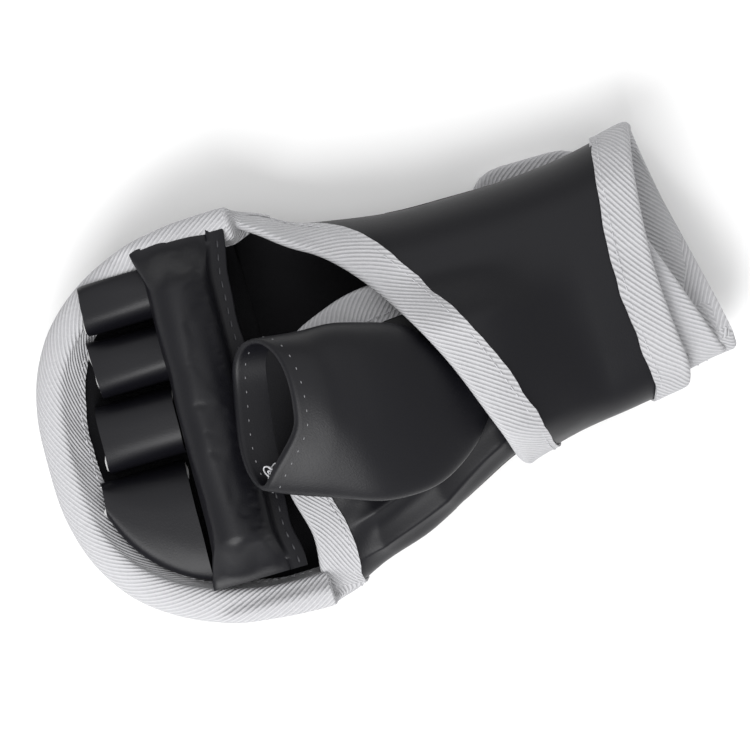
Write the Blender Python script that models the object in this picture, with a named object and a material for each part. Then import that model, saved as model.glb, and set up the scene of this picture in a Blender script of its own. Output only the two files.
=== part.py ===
"""A left-hand open-palm MMA glove, lying on its back with the palm up.

The fingers point to -X, the wrist opens to +X and the little finger is at +Y. All design lengths are
millimetres; new_part() turns them into metres. Four bodies move against each other: the hand (back,
heel flap and wrist strap), the finger guard, the thumb sleeve and the peel-off strap tip.
"""

import math

import bmesh
import bpy
import numpy as np
from mathutils import Vector
from mathutils.bvhtree import BVHTree

MM = 0.001

# The origin sits under the middle of the glove's bounding box: the design frame's zero is the knuckle line.
ORIGIN = np.array([40.25, 1.5, 0.0])

# Cloth and seams
COVER = 1.4                # synthetic leather
LINING = 1.0
TAPE = 0.9                 # one layer of the cotton twill binding
TAPE_WIDTH = 12.5
GAP = 0.3                  # between neighbouring layers
TAPE_GAP = 0.9             # between the binding and the layers it holds

# Finger guard: a bowl in front of the knuckle line, superelliptic in plan
GUARD_LENGTH = 87.1
GUARD_HALF_WIDTH = 75.0
GUARD_CENTRE_Y = 1.5
GUARD_PLAN_POWER = 2.5
GUARD_RIM_SIDE = 37.0      # rim height at the two sides
GUARD_RIM_FRONT = 32.0     # rim height at the finger tips
GUARD_FLAT = 0.40          # share of the radius that lies flat
GUARD_PAD = 14.0           # thickness over the knuckles
GUARD_RIM_PAD = 7.5        # thickness at the rim

# Knuckle line, where the guard folds
FOLD_HEIGHT = 18.0
FOLD_ROOM = 0.7            # half the gap between the two shells on the axis
FOLD_HALF_ANGLE = math.radians(6.6)
FOLD_FADE = 24.0

# Hand shell: sections along X as (x, centre y, half width, bottom z, top z)
HAND_SECTIONS = (
    (-6.0, 1.3, 76.6, 0.0, 44.0),
    (8.0, 1.0, 72.6, 0.8, 44.0),
    (22.0, 0.6, 66.0, 2.0, 44.5),
    (42.0, 1.6, 60.5, 3.4, 45.0),
    (62.0, 5.4, 54.0, 5.4, 45.0),
    (82.0, 10.0, 49.0, 7.4, 44.5),
    (100.0, 12.5, 46.8, 7.8, 43.5),
    (125.0, 15.5, 46.0, 7.8, 42.0),
    (150.0, 20.0, 46.5, 7.8, 40.0),
    (174.0, 23.5, 46.5, 7.8, 38.0),
)
SECTION_POWER = 2.5        # superellipse exponent: 2 is an ellipse, more is squarer
SECTION_STEP = 2.0
SECTION_SAMPLES = 361

# Palm-side edges of the hand, in plan, as (x, y)
FLAP_EDGE = (
    (0, -66), (1, -48), (-3, -30), (-1, -6), (6, 13),
    (18, 25.5), (33, 31.5), (46, 33.5), (75, 33), (110, 32), (143, 31),
)
FLAP_START_X = 2.0         # the heel flap's seam on the thumb side runs between these
FLAP_CUFF_X = 165.0
STRAP_EDGE = ((4, 71), (14, 62), (30, 51), (45, 36.5), (56, 20), (66, 1), (74.5, -21), (80, -35))
STRAP_CUFF = ((151, 66.0), (146.5, 45), (144, 13), (145.5, -11), (147, -23))
STRAP_ROOT_X = (3.0, 151.0)    # the strap's seam on the little-finger side runs between these
STRAP_SIDE_X = (83.5, 146.0)   # where its two edges turn round the thumb side
STRAP_LIFT = 4.2               # how far the strap stands off the heel flap
STRAP_SIDE_LIFT = 2.9          # and off the thumb side
STRAP_RISE = (3.0, 28.0)       # arc length over which it lifts off
THUMB_BULGE = 14.0             # extra lift where the strap crosses the thumb's root
BACK_END = (152.0, 0.18, 67.0) # the back's wrist edge: x at the little-finger side, slope, and that side's y

# Back padding
BACK_FOAM = 7.0
BACK_FOAM_EDGE = 1.4
BACK_FOAM_END = 66.0

# Finger loops as (name, y of the two feet, crown height, highest ground a foot may stand on)
LOOPS = (
    ("finger_loop_little", 61.5, 42.8, 43.5, 60.0),
    ("finger_loop_ring", 40.8, 19.0, 40.0, 60.0),
    ("finger_loop_middle", 17.2, -8.6, 38.5, 60.0),
    ("finger_loop_index", -10.6, -52.0, 39.5, 26.0),
)
LOOP_X = (-66.0, -38.5)
LOOP_SLANT = 0.08          # the loops step towards the fingertips from little finger to index
LOOP_THICKNESS = 1.6

# Grip bar
BAR_X = -23.0
BAR_SLANT = 0.03
BAR_Z = 44.5
BAR_RADIUS = 12.4
BAR_Y = (-60.0, 70.0)
BAR_END_Z = 43.2
BAR_END_HALF = (13.4, 2.6)     # the flattened ends, half width and half height
BAR_TAPER = 18.0
BAR_SKIN = 1.3
BAR_FLANGE = 6.0
BAR_FLANGE_HALF = 1.4
BAR_FLANGE_DROP = 3.0          # below the bar's middle
BAR_ANGLES = (*range(-80, -40, 18), -28, -22, -14, -6, *range(5, 50, 15), *range(54, 260, 18))

# Thumb sleeve: stations along X as (x, centre y, half width, centre z, half height)
THUMB_STATIONS = (
    (-2.0, 0.4, 27.0, 69.8, 12.2),
    (14.0, -4.6, 30.2, 67.2, 13.2),
    (30.0, -8.8, 33.0, 63.8, 13.2),
    (44.0, -11.0, 31.8, 59.8, 12.0),
    (57.0, -12.0, 26.5, 55.6, 8.8),
    (67.0, -12.5, 18.5, 52.5, 5.5),
    (74.0, -12.8, 10.0, 50.9, 3.9),
)
THUMB_MOUTH_LEAN = 0.85    # how far the mouth's upper lip stands back, per mm of height
THUMB_LEAN_FADE = 34.0
THUMB_TAPER = 0.34         # the section is fuller at the little-finger side
THUMB_SKIN = 1.4
THUMB_PIVOT = (62.0, -13.0, 53.0)

# Strap tip: a flat flap under the wrist, from its hinge line to its free end
TIP_HINGE = ((86.5, -16.5), (146.0, -7.5))
TIP_START = 3.4            # the tip's distance from the hinge line
STRAP_STOP = 1.8           # and the strap's
TIP_END = ((93.0, 64.0), (136.0, 64.0))
TIP_CORNER = 19.0
TIP_COVER = (1.8, 3.1)
HOOK_PATCH = (3.4, 4.3)
HINGE_Z = 0.3


def smoothstep(value):
    value = np.clip(value, 0.0, 1.0)
    return value * value * (3.0 - 2.0 * value)


def signed_power(value, power):
    return np.sign(value) * np.abs(value) ** power


def curve_through(points):
    """A smooth function through (x, y, ...) rows, flat beyond its ends."""
    table = np.array(points, float)
    xs, ys = table[:, 0], table[:, 1:]
    slopes = np.gradient(ys, xs, axis=0)

    def value(x):
        x = np.clip(np.asarray(x, float), xs[0], xs[-1])
        i = np.clip(np.searchsorted(xs, x) - 1, 0, len(xs) - 2)
        width = xs[i + 1] - xs[i]
        s = ((x - xs[i]) / width)[..., None]
        width = width[..., None]
        return (
            (2 * s**3 - 3 * s**2 + 1) * ys[i]
            + (s**3 - 2 * s**2 + s) * width * slopes[i]
            + (3 * s**2 - 2 * s**3) * ys[i + 1]
            + (s**3 - s**2) * width * slopes[i + 1]
        )

    return value


def path_through(points):
    """A smooth curve through plan points, taken along its length: share 0 to 1 gives a point."""
    table = np.array(points, float)
    steps = np.r_[0.0, np.cumsum(np.linalg.norm(np.diff(table, axis=0), axis=1))]
    return curve_through(np.column_stack([steps / steps[-1], table]))


def fold_room(points, side):
    """Leans a shell back from the knuckle line, so that the guard can fold both ways without touching."""
    room = FOLD_ROOM + np.abs(points[..., 2] - FOLD_HEIGHT) * math.tan(FOLD_HALF_ANGLE)
    fade = 1.0 - smoothstep(np.abs(points[..., 0]) / FOLD_FADE)
    moved = points.copy()
    moved[..., 0] += side * room * fade
    return moved


class HandShell:
    """The skin round the hand and wrist: point(arc, x, offset), arc from the little-finger side over the palm."""

    def __init__(self):
        section = curve_through(HAND_SECTIONS)
        self.xs = np.arange(HAND_SECTIONS[0][0], HAND_SECTIONS[-1][0] + SECTION_STEP, SECTION_STEP)
        angle = np.linspace(0.0, 2 * math.pi, 1441)
        rows, lengths = [], []
        for x in self.xs:
            centre, half, low, high = section(x)
            y = centre + half * signed_power(np.cos(angle), 2 / SECTION_POWER)
            z = (low + high) / 2 + (high - low) / 2 * signed_power(np.sin(angle), 2 / SECTION_POWER)
            run = np.r_[0.0, np.cumsum(np.hypot(np.diff(y), np.diff(z)))]
            even = np.linspace(0.0, run[-1], SECTION_SAMPLES)
            rows.append(np.column_stack([np.interp(even, run, y), np.interp(even, run, z)]))
            lengths.append(run[-1])
        self.rows = np.array(rows)
        self.lengths = np.array(lengths)

    def around(self, x):
        return np.interp(x, self.xs, self.lengths)

    def base(self, arc, x):
        arc, x = np.broadcast_arrays(np.asarray(arc, float), np.asarray(x, float))
        i = np.clip(((x - self.xs[0]) / SECTION_STEP).astype(int), 0, len(self.xs) - 2)
        fx = ((x - self.xs[i]) / SECTION_STEP)[..., None]
        place = (arc / self.around(x) % 1.0) * (SECTION_SAMPLES - 1)
        j = np.clip(place.astype(int), 0, SECTION_SAMPLES - 2)
        fj = (place - j)[..., None]
        near = self.rows[i, j] * (1 - fj) + self.rows[i, j + 1] * fj
        far = self.rows[i + 1, j] * (1 - fj) + self.rows[i + 1, j + 1] * fj
        return np.concatenate([x[..., None], near * (1 - fx) + far * fx], axis=-1)

    def normal(self, arc, x, reach=2.0):
        along = self.base(arc, x + reach) - self.base(arc, x - reach)
        across = self.base(arc + reach, x) - self.base(arc - reach, x)
        out = np.cross(across, along)
        out[..., 0] *= smoothstep(np.broadcast_to(x, out.shape[:-1]) / FOLD_FADE)
        return out / np.linalg.norm(out, axis=-1, keepdims=True)

    def point(self, arc, x, offset):
        arc, x, offset = np.broadcast_arrays(*(np.asarray(v, float) for v in (arc, x, offset)))
        found = self.base(arc, x) + self.normal(arc, x) * offset[..., None]
        return fold_room(found, 1.0)

    def arc_at(self, x, y, palm=True):
        """Arc length of the palm-side (or back-side) point over plan position (x, y)."""
        found = []
        for px, py in zip(np.atleast_1d(x), np.atleast_1d(y)):
            half = self.around(px) / 2
            arcs = np.linspace(0.0, half, 181) if palm else np.linspace(half, 2 * half - 0.01, 181)
            ys = self.base(arcs, np.full(181, px))[:, 1]
            found.append(np.interp(-py, -ys, arcs) if palm else np.interp(py, ys, arcs))
        return np.array(found)


class GuardShell:
    """The finger guard's bowl: point(turn, depth, offset), depth measured down from the rim, offset inwards."""

    def __init__(self):
        self.turns = np.linspace(math.pi / 2, 3 * math.pi / 2, 181)
        radius = 1.0 - np.linspace(0.0, 1.0, 400)
        bend = np.clip((radius - GUARD_FLAT) / (1 - GUARD_FLAT), 0, 1)
        boxy = 1.0 - (1.0 - bend**2.4) ** (1 / 1.8)
        open_bowl = bend**2.1
        rows, lengths = [], []
        for turn in self.turns:
            side = abs(math.sin(turn)) ** 2
            x = GUARD_LENGTH * signed_power(math.cos(turn), 2 / GUARD_PLAN_POWER) * radius
            y = GUARD_CENTRE_Y + GUARD_HALF_WIDTH * signed_power(math.sin(turn), 2 / GUARD_PLAN_POWER) * radius
            rim = GUARD_RIM_FRONT + (GUARD_RIM_SIDE - GUARD_RIM_FRONT) * side
            rise = open_bowl + (boxy - open_bowl) * side**2
            line = np.column_stack([x, y, rim * rise])
            run = np.r_[0.0, np.cumsum(np.linalg.norm(np.diff(line, axis=0), axis=1))]
            even = np.linspace(0, run[-1], 241)
            rows.append(np.column_stack([np.interp(even, run, line[:, k]) for k in range(3)]))
            lengths.append(run[-1])
        self.rows = np.array(rows)
        self.lengths = np.array(lengths)

    def deep(self, turn):
        return np.interp(turn, self.turns, self.lengths)

    def base(self, turn, depth):
        turn, depth = np.broadcast_arrays(np.asarray(turn, float), np.asarray(depth, float))
        place = (turn - self.turns[0]) / (self.turns[1] - self.turns[0])
        i = np.clip(place.astype(int), 0, len(self.turns) - 2)
        fi = (place - i)[..., None]
        share = np.clip(depth / self.deep(turn), 0.0, 1.0) * 240
        j = np.clip(share.astype(int), 0, 239)
        fj = (share - j)[..., None]
        near = self.rows[i, j] * (1 - fj) + self.rows[i, j + 1] * fj
        far = self.rows[i + 1, j] * (1 - fj) + self.rows[i + 1, j + 1] * fj
        found = near * (1 - fi) + far * fi
        above = self.rows[:, 0] - self.rows[:, 4]
        above /= np.linalg.norm(above, axis=1, keepdims=True)
        up = above[i] * (1 - fi) + above[i + 1] * fi
        return found - np.minimum(depth, 0.0)[..., None] * up

    def inward(self, turn, depth, reach=0.03):
        down = self.base(turn, depth + 1.5) - self.base(turn, depth - 1.5)
        along = self.base(turn + reach, depth) - self.base(turn - reach, depth)
        out = np.cross(down, along)
        size = np.linalg.norm(out, axis=-1, keepdims=True)
        flat = np.array([0.0, 0.0, -1.0])
        near_pole = depth > self.deep(turn) * 0.9
        out = np.where((size > 1e-3) & ~np.asarray(near_pole)[..., None], out, flat)
        out[..., 0] *= smoothstep(-self.base(turn, depth)[..., 0] / FOLD_FADE)
        return -out / np.linalg.norm(out, axis=-1, keepdims=True)

    def point(self, turn, depth, offset):
        turn, depth, offset = np.broadcast_arrays(*(np.asarray(v, float) for v in (turn, depth, offset)))
        found = self.base(turn, depth) + self.inward(turn, depth) * offset[..., None]
        return fold_room(found, -1.0)


def pad_thickness(share):
    """Guard thickness from the rim (share 0) to the middle (share 1)."""
    return GUARD_RIM_PAD + (GUARD_PAD - GUARD_RIM_PAD) * smoothstep((share - 0.16) / 0.45)


hand = HandShell()
guard = GuardShell()


# Scene, materials and bodies


def clear_scene():
    for old in list(bpy.data.objects):
        bpy.data.objects.remove(old, do_unlink=True)


def new_material(name, colour, roughness, metallic=0.0):
    material = bpy.data.materials.new(name)
    material.use_nodes = True
    shader = material.node_tree.nodes["Principled BSDF"]
    shader.inputs["Base Color"].default_value = (*colour, 1.0)
    shader.inputs["Roughness"].default_value = roughness
    shader.inputs["Metallic"].default_value = metallic
    material.diffuse_color = (*colour, 1.0)
    return material


def new_body(name, pivot):
    """An empty on the body's joint axis, which carries the body's parts."""
    empty = bpy.data.objects.new(name, None)
    empty.location = Vector((np.array(pivot) - ORIGIN) * MM)
    bpy.context.scene.collection.objects.link(empty)
    return empty, np.array(pivot, float)


def new_part(name, points, faces, material, body):
    """A closed solid from points in the design frame, placed on its body's pivot."""
    empty, pivot = body
    mesh = bpy.data.meshes.new(name)
    mesh.from_pydata([Vector(p) for p in (np.asarray(points) - pivot) * MM], [], faces)
    work = bmesh.new()
    work.from_mesh(mesh)
    bmesh.ops.remove_doubles(work, verts=work.verts, dist=0.00003)
    bmesh.ops.recalc_face_normals(work, faces=work.faces)
    if work.calc_volume(signed=True) < 0:
        bmesh.ops.reverse_faces(work, faces=work.faces)
    work.to_mesh(mesh)
    work.free()
    mesh.shade_smooth()
    mesh.set_sharp_from_angle(angle=math.radians(38))
    mesh.materials.append(material)
    part = bpy.data.objects.new(name, mesh)
    part.parent = empty
    bpy.context.scene.collection.objects.link(part)
    return part


def slab(name, lower, upper, material, body):
    """A closed sheet between two grids of points."""
    rows, columns = lower.shape[:2]
    points = np.concatenate([lower.reshape(-1, 3), upper.reshape(-1, 3)])
    top = rows * columns
    faces = []
    for i in range(rows - 1):
        for j in range(columns - 1):
            a = i * columns + j
            faces.append((a, a + 1, a + columns + 1, a + columns))
            faces.append((top + a, top + a + columns, top + a + columns + 1, top + a + 1))
    rim = list(range(columns))
    rim += [i * columns + columns - 1 for i in range(1, rows)]
    rim += [(rows - 1) * columns + j for j in range(columns - 2, -1, -1)]
    rim += [i * columns for i in range(rows - 2, 0, -1)]
    for a, b in zip(rim, rim[1:] + rim[:1]):
        faces.append((a, top + a, top + b, b))
    return new_part(name, points, faces, material, body)


def ring_walls(count, size, start=0):
    faces = []
    for i in range(count - 1):
        a, b = start + i * size, start + (i + 1) * size
        for j in range(size):
            k = (j + 1) % size
            faces.append((a + j, a + k, b + k, b + j))
    return faces


def sweep(name, rings, material, body):
    """A solid through rings of points, capped at both ends."""
    count, size = rings.shape[:2]
    faces = ring_walls(count, size)
    faces.append(tuple(range(size - 1, -1, -1)))
    faces.append(tuple(range((count - 1) * size, count * size)))
    return new_part(name, rings.reshape(-1, 3), faces, material, body)


def tube(name, outer, inner, material, body):
    """A tube between two sets of rings, open at both ends."""
    count, size = outer.shape[:2]
    half = count * size
    faces = ring_walls(count, size)
    faces += [tuple(reversed(face)) for face in ring_walls(count, size, half)]
    for end in (0, (count - 1) * size):
        for j in range(size):
            k = (j + 1) % size
            faces.append((end + j, end + k, half + end + k, half + end + j))
    points = np.concatenate([outer.reshape(-1, 3), inner.reshape(-1, 3)])
    return new_part(name, points, faces, material, body)


def channel(low, high):
    """Section of a tape folded over an edge whose layers run from offset low to high: (inwards, offset)."""
    edge = -(GAP + TAPE)
    depths = (0.0, TAPE_WIDTH / 2, TAPE_WIDTH)
    low, high = low - TAPE_GAP, high + TAPE_GAP
    section = [(edge, low - TAPE)]
    section += [(depth, low - TAPE) for depth in depths]
    section += [(depth, low) for depth in reversed(depths[1:])]
    section += [(-GAP, low), (-GAP, high)]
    section += [(depth, high) for depth in depths[1:]]
    section += [(depth, high + TAPE) for depth in reversed(depths)]
    section += [(edge, high + TAPE)]
    return section


# Edges of the hand's panels, laid out flat as (arc, x)


def flap_edge(u):
    """The heel flap's free edge, up the thumb side, across the palm and back to the wrist."""
    plan = np.array(FLAP_EDGE, float)
    arcs = hand.arc_at(plan[:, 0], plan[:, 1])
    side = hand.around(FLAP_START_X) / 2 - GAP
    table = [(side, FLAP_START_X), ((side + arcs[0]) / 2, 0.8)]
    return path_through(table + list(zip(arcs, plan[:, 0])))(u)


def flap_seam(u):
    x = FLAP_START_X + 2.0 + (FLAP_CUFF_X - FLAP_START_X - 2.0) * u
    return np.stack([hand.around(x) / 2 - GAP, x], axis=-1)


def flap_cuff(u):
    start, end = flap_edge(np.array(1.0)), flap_seam(np.array(1.0))
    return start + (end - start) * np.asarray(u)[..., None]


def strap_side(edge, side_x, root_x, end):
    """One long edge of the strap: little-finger seam, palm, thumb side, and back under to the tip's hinge."""
    plan = np.array(edge, float)
    arcs = hand.arc_at(plan[:, 0], plan[:, 1])
    side = hand.around(side_x) / 2
    stop = hand.arc_at(end[0], end[1] - STRAP_STOP, palm=False)[0]
    table = [(GAP, root_x)] + list(zip(arcs, plan[:, 0]))
    table += [(side, side_x), (stop, end[0])]
    return path_through(table)


strap_distal = strap_side(STRAP_EDGE, STRAP_SIDE_X[0], STRAP_ROOT_X[0], TIP_HINGE[0])
strap_proximal = strap_side(STRAP_CUFF, STRAP_SIDE_X[1], STRAP_ROOT_X[1], TIP_HINGE[1])


def strap_lift(arc, x):
    """Offset of the strap's inner face from the hand shell."""
    thickness = LINING + GAP + COVER
    lift = (STRAP_LIFT + thickness) * smoothstep((arc - STRAP_RISE[0]) / (STRAP_RISE[1] - STRAP_RISE[0]))
    lift -= thickness
    around = hand.around(x)
    lift -= (STRAP_LIFT - STRAP_SIDE_LIFT) * smoothstep((arc / around - 0.43) / 0.07)
    y = hand.base(arc, x)[..., 1]
    over_thumb = smoothstep((x - 30) / 30) * (1 - smoothstep((x - 74) / 46))
    beside = smoothstep((34 - y) / 24) * smoothstep((y + 38) / 14)
    palm_side = smoothstep((around * 0.5 - arc) / 12)
    return lift + THUMB_BULGE * over_thumb * beside * palm_side


def back_end_x(share):
    """The back's wrist edge: share 0 at the thumb side, 1 at the little-finger side, round the bottom."""
    share = np.asarray(share, float)
    x = np.full_like(share, 158.0)
    for _ in range(4):
        y = hand.base(hand.around(x) * np.minimum(0.5 + 0.5 * share, 0.9999), x)[..., 1]
        x = BACK_END[0] + (BACK_END[2] - y) * BACK_END[1]
    return x


def back_cuff(u):
    x = back_end_x(u)
    edge = hand.around(x) * 0.5
    return np.stack([edge + GAP + (edge - 2 * GAP) * np.asarray(u), x], axis=-1)


def back_foam_depth(arc, x):
    """Thickness of the padding on the back: full in the middle, thin at the sides and none at the wrist."""
    share = arc / hand.around(x)
    across = smoothstep((np.minimum(share - 0.5, 1.0 - share) - 0.02) / 0.10)
    along = 1.0 - smoothstep((x - BACK_FOAM_END + 26) / 24)
    depth = BACK_FOAM_EDGE + (BACK_FOAM - BACK_FOAM_EDGE) * across * along
    return depth * (1.0 - smoothstep((x - BACK_FOAM_END - 1) / 14))


def flat_inward(edge, u, toward):
    """Unit direction in the flat (arc, x) layout, square to an edge curve and on the side of a given point."""
    step = 0.004
    run = edge(np.clip(u + step, 0, 1)) - edge(np.clip(u - step, 0, 1))
    run /= np.linalg.norm(run, axis=-1, keepdims=True)
    inward = np.stack([-run[..., 1], run[..., 0]], axis=-1)
    facing = np.sum(inward * (np.array(toward) - edge(u)), axis=-1, keepdims=True)
    return inward * np.sign(np.median(facing))


def bind_hand_edge(name, edge, toward, lift, layers, material, body, u):
    """A folded tape along an edge of a hand panel whose layers run between two offsets."""
    start, inward = edge(u), flat_inward(edge, u, toward)
    rings = []
    for depth, offset in channel(*layers):
        at = start + inward * depth
        raised = lift(at[:, 0], at[:, 1]) if lift else 0.0
        rings.append(hand.point(at[:, 0], at[:, 1], raised + offset))
    return sweep(name, np.stack(rings, axis=1), material, body)


def hand_patch(near, far, u, columns):
    """Grid of (arc, x) between two edge curves."""
    v = np.linspace(0.0, 1.0, columns)[None, :, None]
    grid = near(u)[:, None, :] * (1 - v) + far(u)[:, None, :] * v
    return grid[..., 0], grid[..., 1]


def hand_slab(name, patch, low, high, material, body):
    arc, x = patch
    return slab(name, hand.point(arc, x, low), hand.point(arc, x, high), material, body)


# Hand body


def build_back(look, body):
    u = np.linspace(0.0, 1.0, 25)
    u = 0.5 * u + 0.25 * (1.0 - np.cos(math.pi * u))
    share = u[:, None]
    x = back_end_x(share) * np.linspace(0.0, 1.0, 15)[None, :]
    edge = hand.around(x) * 0.5
    arc = edge + GAP + (edge - 2 * GAP) * share
    hand_slab("back_cover", (arc, x), -COVER, 0.0, look["leather"], body)
    foam = back_foam_depth(arc, x)
    top = -COVER - GAP
    low = top - GAP - LINING - foam - 0.1
    hand_slab("back_lining", (arc, x), low, low + LINING, look["lining"], body)
    padded = (slice(1, -1), slice(0, 7))
    hand_slab("back_foam", (arc[padded], x[padded]), (top - foam)[padded], top, look["foam"], body)
    layers = (-COVER - 2 * GAP - LINING - 0.1, 0.0)
    bind_hand_edge("cuff_binding", back_cuff, (160.0, 60.0), None, layers, look["tape"], body, u)


def build_heel_flap(look, body):
    u = np.linspace(0.0, 1.0, 28)
    columns = np.linspace(0.0, 1.0, 12)
    layers = (-COVER, 0.0)
    hand_slab("heel_flap", hand_patch(flap_edge, flap_seam, u, len(columns)), *layers, look["leather"], body)
    toward = (hand.around(60.0) * 0.4, 60.0)
    bind_hand_edge("heel_flap_binding", flap_edge, toward, None, layers, look["tape"], body, u[1:-3])
    bind_hand_edge("heel_flap_cuff_binding", flap_cuff, (100.0, 60.0), None, layers, look["tape"], body, columns[:-1])


def build_strap(look, body):
    u = np.linspace(0.0, 1.0, 30)
    patch = hand_patch(strap_distal, strap_proximal, u, 15)
    lift = strap_lift(*patch)
    hand_slab("strap_lining", patch, lift, lift + LINING, look["lining"], body)
    hand_slab("strap_panel", patch, lift + LINING + GAP, lift + LINING + GAP + COVER, look["leather"], body)
    layers = (0.0, LINING + GAP + COVER)
    middle = (90.0, 110.0)
    bind_hand_edge("strap_distal_binding", strap_distal, middle, strap_lift, layers, look["tape"], body, u[1:])
    bind_hand_edge("strap_cuff_binding", strap_proximal, (90.0, 60.0), strap_lift, layers, look["tape"], body, u[1:])
    near = hand.arc_at(115.0, TIP_HINGE[1][1] + 6.0, palm=False)[0]
    far = hand.arc_at(115.0, 48.0, palm=False)[0]
    arc, x = np.meshgrid(np.linspace(near, far, 12), np.linspace(97.0, 136.0, 5), indexing="ij")
    hand_slab("loop_patch", (arc, x), GAP, GAP + 1.5, look["loop"], body)


# Finger guard body


GUARD_TURNS = np.linspace(math.pi / 2, 3 * math.pi / 2, 33)


def guard_slab(name, low, high, material, body, start=0):
    share = np.linspace(0.0, 1.0, 13)[None, start:]
    depth = guard.deep(GUARD_TURNS)[:, None] * share
    turn = np.broadcast_to(GUARD_TURNS[:, None], depth.shape)
    return slab(name, guard.point(turn, depth, low(share)), guard.point(turn, depth, high(share)), material, body)


def build_guard_shell(look, body):
    guard_slab("guard_cover", lambda s: 0 * s, lambda s: 0 * s + COVER, look["leather"], body)
    inner = COVER + GAP
    guard_slab(
        "knuckle_foam", lambda s: 0 * s + inner, lambda s: pad_thickness(s) - LINING - GAP, look["foam"], body, 1
    )
    lining = guard_slab(
        "guard_lining", lambda s: pad_thickness(s) - LINING, lambda s: pad_thickness(s), look["lining"], body
    )
    rings = [guard.point(GUARD_TURNS, depth, offset) for depth, offset in channel(0.0, GUARD_RIM_PAD)]
    tape = sweep("guard_binding", np.stack(rings, axis=1), look["tape"], body)
    return lining, tape


def ground_finder(parts, pivot):
    """Height of the guard's inside under a plan position."""
    trees = []
    for part in parts:
        corners = [v.co / MM + Vector(pivot) for v in part.data.vertices]
        trees.append(BVHTree.FromPolygons(corners, [tuple(p.vertices) for p in part.data.polygons]))

    def height(x, y):
        hits = [tree.ray_cast(Vector((x, y, 200.0)), Vector((0, 0, -1)))[0] for tree in trees]
        return max((hit.z for hit in hits if hit), default=0.0)

    return height


def foot_of(height, x, y, limit, middle):
    """Moves a loop's foot towards the loop's middle until the ground there is low enough."""
    for share in np.linspace(0.0, 0.8, 33):
        foot = y + (middle - y) * share
        if height(x, foot) <= limit:
            break
    return foot


def build_loops(height, look, body):
    for name, top, bottom, crown, limit in LOOPS:
        middle = (top + bottom) / 2
        outer, inner = [], []
        for x0 in np.linspace(LOOP_X[0], LOOP_X[1], 5):
            x = x0 + LOOP_SLANT * middle
            feet = [foot_of(height, x, y, limit, middle) for y in (top, bottom)]
            ground = [
                max(height(x, y + d) for d in (-LOOP_THICKNESS, 0.0, LOOP_THICKNESS)) + 2 * GAP for y in feet
            ]
            angle = np.linspace(0.0, math.pi, 15)
            for rows, shrink in ((outer, 0.0), (inner, LOOP_THICKNESS)):
                centre, half = sum(feet) / 2, (feet[0] - feet[1]) / 2 - shrink
                y = centre + half * signed_power(np.cos(angle), 0.5)
                base = np.where(np.cos(angle) > 0, ground[0], ground[1])
                z = base + (crown - shrink - base) * np.abs(np.sin(angle)) ** 0.5
                rows.append(np.column_stack([np.full(15, x), y, z]))
        slab(name, np.array(outer), np.array(inner), look["leather"], body)


def bar_ring(y, inset=0.0, flange=True):
    """Section of the grip bar at y: round in the middle, flat at the ends, with its stitched edge to the wrist."""
    ends = 1.0 - smoothstep(min(y - BAR_Y[0], BAR_Y[1] - y) / BAR_TAPER)
    half_x = BAR_RADIUS + (BAR_END_HALF[0] - BAR_RADIUS) * ends - inset
    half_z = BAR_RADIUS + (BAR_END_HALF[1] - BAR_RADIUS) * ends - inset
    centre_x = BAR_X + BAR_SLANT * y
    centre_z = BAR_Z + (BAR_END_Z - BAR_Z) * ends
    angle = np.radians(BAR_ANGLES)
    x = centre_x + half_x * np.cos(angle)
    z = centre_z + half_z * np.sin(angle)
    if flange:
        drop = BAR_FLANGE_DROP * (1.0 - ends)
        reach = centre_x + half_x + BAR_FLANGE
        half = BAR_FLANGE_HALF * (1 - 0.2 * ends)
        low, high = centre_z - drop - half, centre_z - drop + half
        x[3:7] = (centre_x + half_x * 0.93, reach, reach, centre_x + half_x * 0.97)
        z[3:7] = (low, low, high, high)
    return np.column_stack([x, np.full(len(x), y), z])


def build_grip_bar(look, body):
    low, high = BAR_Y
    ys = np.r_[np.linspace(low, low + BAR_TAPER, 6), -20.0, 5.0, 30.0, np.linspace(high - BAR_TAPER, high, 6)]
    outer = np.array([bar_ring(y) for y in ys])
    inner = np.array([bar_ring(y, BAR_SKIN, False) for y in ys])
    core = np.array([bar_ring(y, BAR_SKIN + TAPE_GAP, False) for y in ys])
    tube("grip_bar_cover", outer, inner, look["leather"], body)
    core[0, :, 1] += 1.5
    core[-1, :, 1] -= 1.5
    sweep("grip_bar_core", core, look["foam"], body)


# Thumb body


def thumb_ring(x, inset=0.0):
    """Section of the thumb sleeve: pointed at the thumb side, where its seam runs; the mouth leans back."""
    centre_y, half_y, centre_z, half_z = curve_through(THUMB_STATIONS)(np.array(x))
    angle = np.linspace(0.0, 2 * math.pi, 26, endpoint=False)
    y = centre_y + (half_y - inset) * np.cos(angle)
    rise = (half_z * (1 + THUMB_TAPER * np.cos(angle)) - inset) * np.sin(angle)
    lean = THUMB_MOUTH_LEAN * (1.0 - smoothstep((x - THUMB_STATIONS[0][0]) / THUMB_LEAN_FADE))
    return np.column_stack([x + lean * rise, y, centre_z + rise])


def build_thumb(look, body):
    xs = np.linspace(THUMB_STATIONS[0][0], THUMB_STATIONS[-1][0], 11)
    skins = [np.array([thumb_ring(x, inset) for x in xs]) for inset in (0.0, THUMB_SKIN)]
    tube("thumb_sleeve", *skins, look["leather"], body)
    xs = np.linspace(THUMB_STATIONS[0][0] + 7, THUMB_STATIONS[-1][0] - 6, 10)
    inset = THUMB_SKIN + GAP
    skins = [np.array([thumb_ring(x, inset + extra) for x in xs]) for extra in (0.0, 0.8)]
    tube("thumb_lining", *skins, look["lining"], body)


# Strap tip body


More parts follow.
